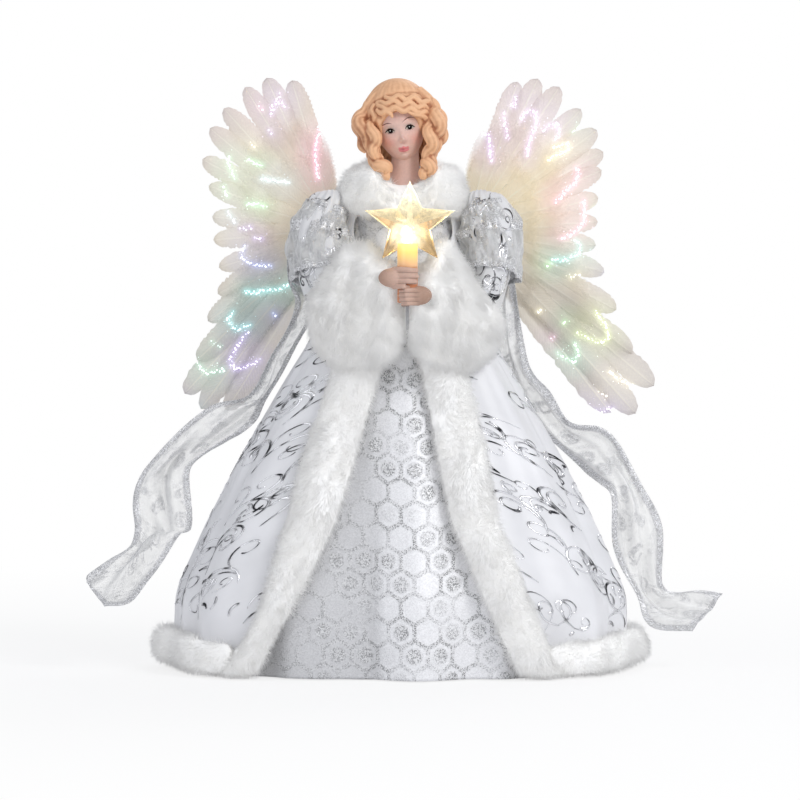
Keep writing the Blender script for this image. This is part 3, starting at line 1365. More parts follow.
def fibre_ends(side, seed):
    """Small shining fibre ends along the rows of lights, and finer ones scattered near them."""
    rng = np.random.default_rng(seed)
    spots, colours = light_spots(side, 1)
    count = len(spots)
    flat = np.concatenate([spots + rng.normal(size=(count, 2)) * 0.4, spots + rng.normal(size=(count, 2)) * 2.4])
    tone = np.concatenate([colours, colours])
    size = np.concatenate([rng.uniform(0.22, 0.6, count), rng.uniform(0.08, 0.2, count)])
    x, z = flat[:, 0] - WING_ROOT[0], flat[:, 1] - WING_ROOT[1]
    inner = np.hypot(x, z) < 0.47 * WING_REACH
    origins = wing_point(signs[side], x, z, np.where(inner, -5.6, -2.9))
    bm = bmesh.new()
    bmesh.ops.create_icosphere(bm, subdivisions=1, radius=1)
    shape, faces = template_of(bm)
    places = (origins[:, None, :] + shape[None, :, :] * size[:, None, None]).reshape(-1, 3)
    mesh = mesh_of_copies("fibre_ends_" + side, places, faces, len(origins))
    paint_points(mesh, "glow", np.repeat(0.52 + 0.48 * tone, len(shape), axis=0))
    return keep("fibre_ends_" + side, mesh, fibre_light)


fibre_light, tree, shader = finish_of("fibre_end_light", WHITE, 0.4, Emission_Strength=1.7)
feed(shader, Emission_Color=painted(tree, "glow"))
for side in signs:
    for layer in wing_layers:
        print(wing_piece(side, layer).name)
    print(fibre_ends(side, 7 + len(side)).name)


# %% [markdown]
# ## Scarf
# The scarf is sheer organza with wire in its two long edges, which are also set with silver glitter. It is
# looped round each upper arm, and its tails fly out at the sides in soft folds that the wires hold.

# %% Scarf tables
SCARF_DROP = 200.0
EDGE_SCALE = 20.0  # millimetres from the edge that are stored as 1
# Each row, in shares of the scarf's drop: the outer edge's reach beyond the skirt, its depth and rise, then
# the same for the inner edge
tail_rows = {
    "right": [
        [0.1225, -0.035, 1.07, 0.1, 0.03, 1.065], [0.12, 0, 1, 0.085, 0.05, 0.99],
        [0.085, 0.03, 0.94, 0.03, 0.07, 0.93], [0.078, 0.02, 0.84, 0.025, 0.06, 0.825],
        [0.075, -0.01, 0.71, 0.02, 0.03, 0.695], [0.16, 0, 0.675, 0.02, -0.015, 0.63],
        [0.22, 0.03, 0.57, 0.068, 0.01, 0.58], [0.238, 0.06, 0.465, 0.118, 0.04, 0.515],
        [0.185, 0.03, 0.355, 0.04, 0, 0.365], [0.19, 0, 0.3, 0.065, -0.04, 0.335],
        [0.253, -0.03, 0.25, 0.11, -0.07, 0.185], [0.248, -0.04, 0.225, 0.188, -0.06, 0.165],
    ],
    "left": [
        [0.1225, -0.035, 1.07, 0.1, 0.03, 1.065], [0.12, 0, 1, 0.085, 0.05, 0.99],
        [0.115, 0.05, 0.94, 0.04, 0.08, 0.93], [0.06, 0.06, 0.78, -0.03, 0.11, 0.76],
        [0.068, 0.07, 0.71, -0.03, 0.12, 0.66], [0.08, 0.07, 0.635, 0.012, 0.11, 0.56],
        [0.15, 0.05, 0.62, 0.045, 0.07, 0.505], [0.173, 0.04, 0.575, 0.07, 0.03, 0.475],
        [0.175, 0.02, 0.475, 0.083, -0.01, 0.44], [0.178, 0.02, 0.37, 0.025, 0, 0.315],
        [0.115, 0.04, 0.215, 0.035, -0.02, 0.195], [0.205, 0.01, 0.2, 0.065, -0.04, 0.115],
        [0.26, -0.01, 0.195, 0.175, -0.04, 0.1],
    ],
}


def tail_mesh(side, columns=40, rows=230):
    """The tail: a strip between its two wired edges, with waves across it and a flutter along it."""
    table, _ = curve_through(tail_rows[side], rows + 1)
    table = table * SCARF_DROP
    ends = []
    for out, y, z in ((0, 1, 2), (3, 4, 5)):
        reach = eased(skirt_halves, skirt_heights, table[:, z]) + table[:, out]
        ends.append(np.stack([signs[side] * reach, table[:, y], table[:, z]], 1))
    outer, inner = ends
    width = np.linalg.norm(outer - inner, axis=1)
    along = unit(np.gradient((outer + inner) / 2, axis=0))
    face = unit(np.cross(outer - inner, along))

    def place(u, v):
        row = np.rint(v * rows).astype(int)
        base = outer[row] + (inner - outer)[row] * u[:, None]
        middle = np.sin(np.pi * u)
        wave = 3.0 * np.sin(2.6 * np.pi * u + 11 * v) + 1.8 * np.sin(5.4 * np.pi * u - 17 * v + 1)
        flutter = 1.1 * np.sin(38 * v + 3 * u) * (1 - middle * 0.5)
        lift = (wave * middle + flutter) * np.clip(width[row] / 22, 0.15, 1.2) * held(v * 8)
        return base + face[row] * lift[:, None]

    mesh = cloth_grid("scarf_tail", columns, rows, place)
    u = np.tile(np.linspace(0, 1, columns + 1), rows + 1)
    row = np.repeat(np.arange(rows + 1), columns + 1)
    edge = np.minimum(u, 1 - u) * width[row]
    end = np.minimum((rows - row) / rows * 260, 30)
    paint_value(mesh, "edge", np.minimum(edge, end) / EDGE_SCALE)
    return mesh


def loop_mesh(side, columns=120, rows=44):
    """The crumpled loop round the upper arm."""
    table, _ = curve_through(sleeve_rows[1:5], rows + 1)
    centres, across, over = arm_frame(side, table, 4)
    waves = ((1.2, 5, 7), (0.8, 9, -13), (0.45, 21, 9), (0.3, 33, -21))

    def place(u, v):
        row = np.rint(v * rows).astype(int)
        angle = 2 * np.pi * u
        crumple = 2.6 + sum(high * np.sin(round_it * angle + down * v) for high, round_it, down in waves)
        a, b = ((table[row, k] * 100 + crumple)[:, None] for k in (3, 4))
        c, s = np.cos(angle)[:, None], np.sin(angle)[:, None]
        return centres[row] + c * across[row] * a + s * over[row] * b

    mesh = cloth_grid("scarf_loop", columns, rows, place)
    v = np.repeat(np.linspace(0, 1, rows + 1), columns + 1)
    near = np.min([np.abs(v - at) for at in (0, 0.42, 1)], axis=0)
    paint_value(mesh, "edge", near * 44 / EDGE_SCALE)
    return mesh


# %% Organza
def organza_finish():
    """Sheer weave: mostly see-through, denser where it is seen edge on, with glitter at its wired edges."""
    white = (0.86, 0.86, 0.85, 1)
    paint, tree, shader = finish_of("organza", white, 0.5, Sheen_Weight=0.3, Sheen_Roughness=0.35)
    where = place_of(tree, "UV")
    far = times(dice_of(painted(tree, "edge"))[0], EDGE_SCALE)
    hem = spread(plus(far, spread(noise(where, 0.8, 2), 0, 1, -1.2, 1.2)), 4.4, 3)
    dice = dice_of(voronoi(where, 2.4).outputs["Color"])
    rings = put_group(tree, foil_scrolls, Vector=where, Cell=17, Line=1.5, Gaps=0.4)
    sprinkled = spread(noise(where, 0.2, 3), 0.42, 0.62, 0.1, 0.5)
    pattern = larger(sprinkled, times(rings["Scroll"], 0.7))
    glitter = times(larger(hem, pattern), spread(dice[0], 0.12, 0.2))
    tone = blend(dice[1], (0.38, 0.38, 0.39, 1), (0.97, 0.97, 0.98, 1))
    thread = node(tree, "TexWave", in__Vector=where, in__Scale=1.3, in__Distortion=1).outputs["Fac"]
    slant = node(tree, "LayerWeight", in__Blend=0.35).outputs["Facing"]
    sheer = plus(spread(slant, 0.1, 0.9, 0.3, 0.8), times(thread, 0.06))
    feed(
        shader,
        Base_Color=blend(glitter, white, tone),
        Metallic=times(glitter, 0.3),
        Roughness=spread(glitter, 0, 1, 0.55, 0.38),
        Alpha=larger(sheer, times(glitter, 0.97)),
    )
    bump(shader, plus(glitter, times(dice[2], 0.5)), 0.5, 0.0003)
    return paint


organza = organza_finish()
for side in signs:
    mesh = joined("scarf_" + side, [loop_mesh(side), tail_mesh(side)])
    cuts["scarf_cloth_" + side] = cut_of(mesh)
    keep("scarf_cloth_" + side, thickened(mesh, 0.3), organza, ["scarf_" + side])
print("scarf cuts", cuts["scarf_cloth_right"], cuts["scarf_cloth_left"])


# %% [markdown]
# ## Head
# The head, neck and chest are one resin casting with a matte painted skin. The face is a doll's face: small
# features set low on a round head that leans to the viewer's left. Its relief is built up from soft bumps,
# and the paint of the lips, cheeks and lids is stored at the points.

# %% Face relief
HEAD = np.array([-0.6, -2, 279.9])
HEAD_HALF = np.array([12.4, 14.2, 18.9])
TILT = math.radians(-9)
eye_places = {"right": (-5.3, -2.7), "left": (4.7, -2.2)}


def mound(x, z, cx, cz, sx, sz):
    return np.exp(-(((x - cx) / sx) ** 2) - ((z - cz) / sz) ** 2)


# Bumps and hollows that every eye has, from its middle: rise, place across and up, half width and height
eye_mounds = ((-1, 0, 0.2, 3.3, 2.1), (0.55, 0, 0, 2.1, 1.25), (0.35, 0, 3.4, 3.6, 1.2))
# Cheeks, nose, its two wings, the groove under it, the lips, the line between them, the chin's hollow and chin
face_mounds = (
    (0.9, -6, -8.6, 3.4, 3.2), (0.9, 6.3, -8.4, 3.4, 3.2), (2.3, 0.4, -7.7, 1.3, 1.4), (0.55, -1.1, -8.3, 0.75, 0.8),
    (0.55, 1.9, -8.2, 0.75, 0.8), (-0.7, 0.3, -10.1, 1.6, 0.75), (0.9, 0.1, -11.9, 2, 0.75),
    (1.05, 0.1, -13.5, 1.6, 0.8), (-0.75, 0.1, -12.65, 2.5, 0.3), (-0.5, 0.1, -15, 2, 0.6), (1.3, 0.1, -17, 2.6, 1.8),
)


def relief(x, z):
    """How far the face stands out in front of the plain ovoid, in millimetres."""
    d = 0.0 * x
    for cx, cz in eye_places.values():
        for rise, mx, mz, sx, sz in eye_mounds:
            d += rise * mound(x, z, cx + mx, cz + mz, sx, sz)
    for rise, mx, mz, sx, sz in face_mounds:
        d += rise * mound(x, z, mx, mz, sx, sz)
    bridge = held((-1 - z) / 3.0) * held((z + 8.6) / 1.5)
    return d + 0.9 * np.exp(-((x - 0.3) / 1.15) ** 2) * bridge


def head_to_figure(local):
    c, s = math.cos(TILT), math.sin(TILT)
    x = c * local[..., 0] + s * local[..., 2]
    z = -s * local[..., 0] + c * local[..., 2]
    return HEAD + np.stack([x, local[..., 1], z], -1)


def slim(x, z):
    return x * (1 - 0.13 * held((-7 - z) / 11) ** 1.3)


def on_face(x, z, lift):
    """Place just in front of the face, for a place across and up from the head's middle."""
    x, z = np.asarray(x, float), np.asarray(z, float)
    inner = held(1 - (x / HEAD_HALF[0]) ** 2 - (z / HEAD_HALF[2]) ** 2)
    y = -HEAD_HALF[1] * np.sqrt(inner) - relief(x, z) - lift
    return head_to_figure(np.stack([slim(x, z), y, z], -1))


# %% Bust
def ball_mesh(name, around, up):
    """A sphere of radius 1 and its points."""
    mesh = bpy.data.meshes.new(name)
    with worked(mesh) as bm:
        bmesh.ops.create_uvsphere(bm, u_segments=around, v_segments=up, radius=1)
    return mesh, points_of(mesh) * MM


def head_mesh():
    mesh, ball = ball_mesh("head", 260, 180)
    x, y, z = (ball * HEAD_HALF).T
    front = held(-ball[:, 1] * 3)
    move_points(mesh, head_to_figure(np.stack([slim(x, z), y - relief(x, z) * front, z], 1)))
    paint_points(mesh, "skin", skin_paint(x, z, front))
    return mesh


SKIN = np.array([0.74, 0.5, 0.43])


def skin_paint(x, z, front):
    """The head's paint: rosy cheeks, shaded lids, a shadow under the nose and the lips."""
    colour = np.tile(SKIN, (len(x), 1))

    def brush(mask, tint):
        nonlocal colour
        colour = colour + (np.array(tint) - colour) * (mask * front)[:, None]

    for cx in (-6.2, 6.5):
        brush(0.6 * mound(x, z, cx, -8.2, 3.4, 2.8), (0.72, 0.32, 0.26))
    for cx, cz in eye_places.values():
        brush(0.6 * mound(x, z, cx, cz + 0.7, 3, 1.5), (0.42, 0.38, 0.33))
        brush(0.35 * mound(x, z, cx, cz - 1.6, 2.5, 0.8), (0.6, 0.36, 0.34))
    brush(0.3 * mound(x, z, 0.4, -9.6, 1.8, 0.8), (0.5, 0.25, 0.22))
    rise = held(1 - np.abs(x - 0.1) / 3.1)
    bow = 0.35 * np.cos((x - 0.1) * 2.6) + 0.25
    upper = held((-11.35 + bow * 0.6 - 0.5 * (1 - rise) - z) / 0.25) * held((z + 12.75) / 0.2)
    lower = held((z + 14.35 - 0.9 * (1 - rise) ** 2) / 0.3) * held((-12.6 - z) / 0.2)
    brush(0.95 * held(upper + lower) * held(rise * 5), (0.7, 0.2, 0.22))
    brush(0.6 * mound(x, z, 0.1, -12.68, 2.2, 0.16), (0.36, 0.1, 0.1))
    return colour


def loft(name, heights, halves, depths, centre, sides=96, rows=90):
    """An upright closed form from half widths and depths at some heights."""

    def place(u, v):
        z = heights[0] + (heights[-1] - heights[0]) * v
        angle = 2 * np.pi * (u % 1.0)
        a, b = np.interp(z, heights, halves), np.interp(z, heights, depths)
        return np.stack([centre[0] + a * np.sin(angle), centre[1] - b * np.cos(angle), z], 1)

    return grid_mesh(name, sides, rows, place, roll="closed")


chest = loft("chest", torso_heights, torso_halves, torso_depths, (0, 0))
neck_heights, neck_halves = [240, 246, 250, 254, 258, 268], [15, 13, 10.6, 8.4, 7.2, 6.9]
neck = loft("neck", neck_heights, neck_halves, [10, 9.4, 8.6, 7.6, 7, 6.8], (2.2, 0.3), rows=60)
for part in (chest, neck):
    paint_points(part, "skin", np.tile(SKIN * 0.97, (len(part.vertices), 1)))
resin = {"Subsurface_Weight": 0.06, "Subsurface_Scale": 0.002}
skin_finish, tree, shader = finish_of("painted_skin", (0.72, 0.47, 0.44, 1), 0.55, **resin)
speckle = spread(noise(place_of(tree), 900, 2), 0.3, 0.7, 0.94, 1.03)
feed(shader, Base_Color=blend(1, painted(tree, "skin"), speckle, "MULTIPLY"))
bump(shader, noise(place_of(tree), 2600, 2), 0.12, 0.0001)
keep("bust_casting", joined("bust_casting", [head_mesh(), chest, neck]), skin_finish, ["bust"])


# %% Eyes and brows
def in_colour(mesh, colour):
    """A small mesh of the face in one colour."""
    paint_points(mesh, "skin", np.tile(np.array(colour, float), (len(mesh.vertices), 1)))
    return mesh


def face_patch(name, cx, cz, half_x, half_z, lift, colour, shape=2, sides=40, rings=6):
    """A small painted oval that follows the face."""

    def place(u, v):
        angle = 2 * np.pi * (u % 1.0)
        c, s = np.cos(angle), np.sin(angle)
        x = cx + v * half_x * np.sign(c) * np.abs(c) ** (2 / shape)
        z = cz + v * half_z * np.sign(s) * np.abs(s) ** (2 / shape)
        return on_face(x, z, lift + 0.06 * (1 - v))

    return in_colour(grid_mesh(name, sides, rings, place, roll="open"), colour)


def stroke(points, width, colour, name):
    """A painted line on the face, thicker in its middle."""
    places, _ = curve_through([on_face(x, z, 0.05) for x, z in points], 17)

    def half(t):
        return width * (0.25 + 0.75 * np.sin(np.pi * np.clip(t, 0.04, 0.96)))

    return in_colour(tube_mesh(name, places[::4], half, 8, 28), colour)


eye_paint, tree, shader = finish_of("eye_paint", (0.5, 0.5, 0.5, 1), 0.8, Specular_IOR_Level=0)
feed(shader, Base_Color=painted(tree, "skin"))
EYE_WHITE, IRIS, PUPIL, GLINT = (0.5, 0.44, 0.38), (0.012, 0.009, 0.008), (0.003, 0.003, 0.004), (0.95, 0.95, 0.95)
LASH, LID, FOLD, BROW = (0.015, 0.01, 0.008), (0.1, 0.06, 0.05), (0.3, 0.2, 0.18), (0.14, 0.05, 0.04)
eye_meshes = []
for side, (cx, cz) in eye_places.items():
    left_end, right_end = (cx - 2.8, cx + 2.3) if side == "right" else (cx - 2.3, cx + 2.8)
    lash = [
        (left_end, cz - 0.35), (cx - 1.3, cz + 0.72), (cx, cz + 1.08), (cx + 1.3, cz + 0.72), (right_end, cz - 0.3)
    ]
    eye_meshes += [
        face_patch("white", cx, cz, 2.3, 0.98, 0.03, EYE_WHITE, shape=1.6),
        face_patch("iris", cx + 0.1, cz + 0.05, 1.2, 1.02, 0.09, IRIS),
        face_patch("pupil", cx + 0.1, cz + 0.05, 0.75, 0.75, 0.16, PUPIL),
        face_patch("glint", cx - 0.05, cz + 0.3, 0.24, 0.24, 0.24, GLINT, rings=3),
        stroke(lash, 0.42, LASH, "lash"),
        stroke([(cx - 1.6, cz - 0.6), (cx, cz - 1), (cx + 1.6, cz - 0.6)], 0.14, LID, "lid"),
        stroke([(cx - 2, cz + 1), (cx, cz + 1.75), (cx + 2, cz + 1.05)], 0.1, FOLD, "fold"),
    ]
    for k in range(6):
        a = (k - 2.5) / 2.5
        x, z = cx + a * 1.7, cz - 0.6 - 0.4 * (1 - a * a)
        lower_lash = [(x, z), (x + a * 0.35, z - 0.3), (x + a * 0.6, z - 0.55)]
        eye_meshes.append(stroke(lower_lash, 0.05, LID, "lower_lash"))
for brow in ([(-9.6, 0.2), (-8, 1.2), (-6, 1.5), (-4.2, 1.1)], [(1.4, 0.9), (3.4, 2.3), (5.8, 2.9), (8.4, 2)]):
    eye_meshes.append(stroke(brow, 0.2, BROW, "brow"))
keep("painted_eyes", joined("painted_eyes", eye_meshes), eye_paint)


# %% [markdown]
# ## Hair
# The hair is one moulded piece in matte golden tan: a smooth cap, a groove over wavy bangs, and sculpted
# ringlets at both sides and behind. Each ringlet is a tapered coil with grooves that wind round it, and
# darker paint has been left in the grooves.

# %% Hair cap
def cap_mesh():
    """The cap: fine strands, a groove over the bangs, and a hollow where the face looks out."""
    centre = np.array([0, 0.05, 0.16]) * 37
    half = np.array([0.462, 0.472, 0.487]) * 37
    mesh, ball = ball_mesh("hair_cap", 220, 150)
    around = np.arctan2(ball[:, 0], -ball[:, 1])
    part = np.clip(ball[:, 2], -1, 1)
    front = np.cos(around)
    strand = 0.12 * np.sin(23 * around + 4 * np.sin(4 * part)) + 0.08 * np.sin(37 * around - 6 * part)
    band = 0.2 + 0.36 * held(front) ** 0.8 + 0.05 * np.sin(around)
    groove = -0.6 * np.exp(-(((part - band) / 0.035) ** 2)) * held(front * 3 + 0.6)
    waves = 0.45 * np.sin(13 * around + 9 * part) * (held((band - part) / 0.05) * held(front * 2 + 0.4))
    out = ball * (strand * np.clip(1.2 - np.abs(part), 0.2, 1) + groove + waves)[:, None]
    local = centre + ball * half + out
    window, hole = np.array([0, -19.2, -6]), np.array([15.6, 13.8, 14])
    off = (local - window) / hole
    deep = window[1] + hole[1] * np.sqrt(held(1 - (off[:, 0] ** 2 + off[:, 2] ** 2)))
    inside = (np.linalg.norm(off, axis=1) < 1) & (ball[:, 1] < 0)
    local[:, 1] = np.where(inside, np.maximum(local[:, 1], deep), local[:, 1])
    move_points(mesh, head_to_figure(local))
    return mesh


# %% Ringlets
def ringlet(points, radii, seed, lobes, lobe_depth, twist, coil=0, turns=2, sides=30, rows=90):
    """A tapered lock through the points, coiled round its own path, with grooves winding round it."""
    places, ahead = curve_through(points, rows + 1)

    def frame_along(ahead):
        across = unit(np.cross(ahead, np.array([0.2, 1, 0.1])))
        return across, np.cross(across, ahead)

    across, over = frame_along(ahead)
    t = np.linspace(0, 1, rows + 1)
    turn = 2 * np.pi * turns * t + np.random.default_rng(seed).uniform(0, 6.28)
    swing = np.cos(turn)[:, None] * across + np.sin(turn)[:, None] * over
    places = places + coil * np.sin(np.pi * t)[:, None] ** 0.5 * swing
    across, over = frame_along(unit(np.gradient(places, axis=0)))
    size = np.interp(t, np.linspace(0, 1, len(radii)), radii)

    def half(row, angle, v):
        wave = np.cos(lobes * angle + 2 * np.pi * twist * v)
        fine = 0.35 * np.cos(3 * lobes * angle + 6 * np.pi * twist * v)
        return size[row] * (1 + lobe_depth * (wave + 0.4 * fine))

    return grid_mesh("ringlet", sides, rows, ring_place(rows, places, across, over, half, half), roll="closed")


# Each row: points across, behind the face and up, in the figure's millimetres, then the lock's half widths
locks = [
    (
        [(-17.5, -6, 291), (-20.4, -9, 283), (-19.6, -11, 276), (-17, -12.4, 271), (-15.5, -12, 266)],
        [1.8, 3.4, 3.7, 3.3, 1.2],
    ),
    ([(-18.8, -2, 286), (-20.9, -4, 279), (-20.2, -6, 272), (-18, -8, 266)], [2.2, 3.3, 3.3, 1.3]),
    (
        [(-15.2, -9, 284), (-15.2, -12.4, 277), (-13.8, -13.4, 270.5), (-12.8, -12.6, 265), (-12.2, -11.5, 261)],
        [1.4, 2.9, 3.4, 3.2, 1.6],
    ),
    (
        [(-17, -5, 274), (-15.6, -8, 268), (-13.4, -10.3, 263), (-12, -11, 258.6), (-10.4, -11.4, 255)],
        [2.2, 3.4, 3.2, 2.7, 1.2],
    ),
    ([(-13, -10, 264), (-11, -12, 260), (-8.5, -13, 256.5), (-6.5, -12.5, 253.8)], [2.2, 3.2, 3.7, 2.4]),
    ([(-20, 2, 284), (-19, 3, 276), (-15.6, 3, 269), (-12.6, 1, 261)], [2, 3.3, 3.2, 1.3]),
    (
        [(15.8, -7, 292), (18.4, -10, 286), (18.8, -12, 279.5), (17, -13, 274), (16, -12.6, 269)],
        [1.8, 3.3, 3.6, 3.2, 1.2],
    ),
    ([(18, -2, 288), (20.3, -4, 281), (20.5, -6, 275), (18.8, -8, 268.6)], [2.2, 3.3, 3.2, 1.3]),
    (
        [(14.2, -10, 286), (14.8, -12.8, 279), (15.1, -13.8, 271.7), (13.6, -13.2, 265), (13.8, -12, 260.5)],
        [1.4, 2.7, 3.3, 3.3, 1.6],
    ),
    (
        [(17.6, -5, 276), (16.8, -8, 270), (15.8, -10, 264), (14.8, -11, 258.6), (13.8, -11.4, 254.4)],
        [2.2, 3.3, 3.2, 2.8, 1.2],
    ),
    ([(13.6, -10, 264), (14.2, -12, 260), (13.4, -13, 256.5), (11.6, -12.5, 253.6)], [2.2, 3.2, 3.7, 2.4]),
    ([(19.2, 2, 286), (19.2, 3, 278), (17.2, 3, 270), (14.6, 1, 261)], [2, 3.3, 3.2, 1.3]),
]
for k in range(11):  # the locks behind
    angle = math.radians(-62 + k * 12.4)
    x, y = math.sin(angle), math.cos(angle)
    lock = [(15.5 * x, 14.5 * y + 1, 286), (17.6 * x, 16.4 * y + 1, 276), (16.2 * x, 15.2 * y + 1, 267)]
    lock.append((15.0 * x, 12.6 * y, 257 - 2.2 * math.sin(k * 2.1)))
    locks.append((lock, [2, 3.5, 3.5, 1.3]))


def on_cap(x, z, lift):
    """Place on the front of the cap."""
    inner = 1 - ((x + 0.6) / 17.3) ** 2 - ((z - 286.9) / 18.2) ** 2
    return (x, -0.1 - 17.5 * math.sqrt(max(inner, 0.05)) - lift, z)


# Each row: places across and up on the cap, half widths, and how far it stands out
fringe = [
    (
        [
            (-8.6, 294.2), (-4.5, 292.8), (-1.2, 294.4), (2.6, 292.2), (6.4, 293.8), (10.2, 291.2), (13.8, 291.6),
            (16.6, 287.4),
        ],
        [0.8, 1.5, 1.6, 1.5, 1.6, 1.5, 1.4, 0.8], 0.2,
    ),
    (
        [
            (-10.8, 292), (-7.2, 290.4), (-3.4, 291.8), (0.4, 289.6), (4.2, 291.2), (8, 288.6), (11.8, 289.4),
            (15.2, 284.6),
        ],
        [0.8, 1.5, 1.6, 1.6, 1.6, 1.5, 1.4, 0.8], 0.4,
    ),
    (
        [
            (-12.4, 290), (-9.4, 289), (-6.2, 287.4), (-2.4, 288.6), (1.2, 286.8), (5, 288.2), (8.6, 286),
            (12.6, 286.4), (14.6, 282),
        ],
        [0.8, 1.4, 1.6, 1.6, 1.5, 1.5, 1.5, 1.4, 0.8], 0.6,
    ),
    ([(-12.6, 287.6), (-10, 285.8), (-7.4, 286.6), (-5.2, 285.2), (-4.2, 283.2)], [0.9, 1.5, 1.6, 1.3, 0.5], 0.9),
    (
        [(-13.6, 290.6), (-14.6, 287.2), (-13.2, 284), (-13.8, 280.4), (-13.2, 276.8)], [0.9, 1.6, 1.7, 1.6, 0.8],
        0.5,
    ),
    ([(3.4, 286.4), (6.6, 285.2), (9.6, 284.8), (12.4, 283.4), (13, 280)], [0.6, 1.1, 1.3, 1.4, 0.7], 0.9),
    ([(15.6, 289.2), (16.4, 285.4), (14.6, 281.6), (15, 277.4), (13.8, 274)], [0.9, 1.6, 1.7, 1.6, 0.8], 0.5),
    ([(-15.4, 293.6), (-16.4, 289.4), (-15.4, 285.4), (-16.6, 281.4)], [1, 1.9, 1.9, 1], 0.2),
]
sweeps = [
    ([(-7.5, -5, 298.5), (-13.5, -6, 291.5), (-17.6, -6, 284.5), (-20.2, -6.5, 278.2)], [3.2, 4.4, 4, 1.8]),
    ([(8, -5, 297.6), (13.4, -6, 291.5), (16.8, -6, 285), (19.4, -6.5, 279.6)], [3, 4, 3.8, 1.8]),
    ([(-12, 3, 292), (-17, 2, 285), (-19.6, 2, 277)], [3.4, 4.2, 2]),
    ([(12, 3, 292), (16.6, 2, 285), (19, 2, 277)], [3.4, 4.2, 2]),
]
hair_meshes = [cap_mesh()]
for k, (points, radii) in enumerate(locks):
    hair_meshes.append(ringlet(points, radii, 100 + k, 7, 0.05, 1.2, coil=1.4, turns=1.8, sides=56))
for k, (points, radii, lift) in enumerate(fringe):
    hair_meshes.append(ringlet([on_cap(x, z, lift) for x, z in points], radii, 200 + k, 5, 0.06, 0.8, sides=44))
for k, (points, radii) in enumerate(sweeps):
    hair_meshes.append(ringlet(points, radii, 300 + k, 9, 0.05, 0.5))


def hollows_of(mesh, turns, reach):
    """How far each point lies below its surroundings: 0 on a crest, 1 in a groove."""
    points = points_of(mesh)
    a, b = mesh_values(mesh.edges, "vertices", 2, np.int32).T
    count = np.bincount(np.concatenate([a, b]), minlength=len(points))[:, None]
    smooth = points.copy()
    for _ in range(turns):
        total = np.zeros_like(smooth)
        np.add.at(total, a, smooth[b])
        np.add.at(total, b, smooth[a])
        smooth = total / np.maximum(count, 1)
    normals = mesh_values(mesh.vertex_normals, "vector", 3, np.float32)
    return held(0.5 + np.sum((smooth - points) * normals, 1) / reach)


def grown_together(name, meshes, voxel, turns):
    """Several meshes remeshed into one smooth casting."""
    draft = placed(name + "_parts", joined(name + "_parts", meshes))
    made = smooth_copy(name, draft.name, voxel, turns, 0.5)
    bpy.data.objects.remove(draft)
    return made


hair = grown_together("hair_casting", hair_meshes, 0.4, 2)
points = points_of(hair)
at_side = held((np.abs(points[:, 0] + 0.6) - 10) / 9) * held((290 - points[:, 2]) / 12)
shade = np.where(points[:, 0] < 0, 0.23, 0.12) * at_side
paint_value(hair, "depth", held(hollows_of(hair, 14, 1) + shade))
hair_paint, tree, shader = finish_of("hair_paint", (0.6, 0.33, 0.17, 1), 0.6)
depth = dice_of(painted(tree, "depth"))[0]
streaks = noise(place_of(tree), 500, 3)
recess = maths("ADD", spread(depth, 0.4, 0.8), spread(streaks, 0.3, 0.7, -0.12, 0.12), clamp=True)
feed(shader, Base_Color=blend(recess, (0.84, 0.49, 0.28, 1), (0.42, 0.17, 0.08, 1)))
bump(shader, streaks, 0.25)
keep("hair_casting", hair, hair_paint, ["hair"])
print("hair", len(hair.polygons), "faces")


# %% [markdown]
# ## Hands, candle and star
# The hands are resin castings closed round the candle, one above the other. The candle is amber acrylic,
# browner at the grip. The star on it is clear faceted acrylic over a warm lamp, so its middle is
# nearly white, its body is gold, and its lower arms fall off to amber; its edges catch the light.

# %% Hands
def hand_mesh(name, palm, palm_half, knuckle, tips, heights, radius):
    """A closed hand: the back of the hand and four fingers bent round the candle's front, grown together."""
    mesh, ball = ball_mesh(name + "_palm", 48, 32)
    move_points(mesh, ball * np.array(palm_half) + np.array(palm))
    parts = [mesh]
    for tip, z in zip(tips, heights):
        turn = 1 if tip > knuckle else -1
        middle = (knuckle + tip) / 2
        path = [(knuckle - turn * 3.5, -60.5, z), (knuckle, -63.6, z + 0.2), (middle, -65.2, z)]
        path += [(tip - turn * 2.2, -64.2, z - 0.3), (tip, -61.4, z - 0.6), (tip - turn * 1.4, -58.4, z - 0.7)]
        parts.append(tube_mesh("finger", path, lambda t: radius * (1.08 - 0.2 * t), 20, 40, side=(0, 0, 1)))
    return grown_together(name, parts, 0.33, 4)


def hand_piece(name, source, mesh, heights, pitch, turn, reach):
    """Paints a hand, darker at the wrist and between the fingers."""
    places = points_of(mesh)
    across, up = places[:, 0] * turn, places[:, 2]
    away = np.min(np.abs(up[:, None] - np.array(heights)[None, :]), axis=1)
    among = held((max(heights) + 0.5 - up) / 0.3) * held((reach - across) / 2)
    gap = held((away - 0.55 * pitch + 0.45) / 0.35) * among
    wrist = held((across - 3) / 8)[:, None]
    pale, dark = np.array([0.6, 0.4, 0.32]), np.array([0.42, 0.26, 0.19])
    paint_points(mesh, "skin", (pale + (dark - pale) * wrist) * (1 - 0.55 * gap[:, None]))
    return keep(name, mesh, skin_finish, [source])


upper_fingers, lower_fingers = [206.8, 204, 201.2, 198.4], [196.5, 194.2, 192, 189.8]
upper_tips, lower_tips = [7.6, 7.8, 7, 4], [0, -0.2, 0, 1]
upper = hand_mesh("hand_upper", (-4.4, -60.8, 202.7), (7, 4.6, 4.9), -0.5, upper_tips, upper_fingers, 1.42)
lower = hand_mesh("hand_lower", (9.4, -60.4, 193.8), (6.2, 4.2, 4.8), 5.6, lower_tips, lower_fingers, 1.2)
hand_piece("hand_casting_right", "right_hand", upper, upper_fingers, 2.8, -1, 3)
hand_piece("hand_casting_left", "left_hand", lower, lower_fingers, 2.25, 1, 10)


# %% Candle


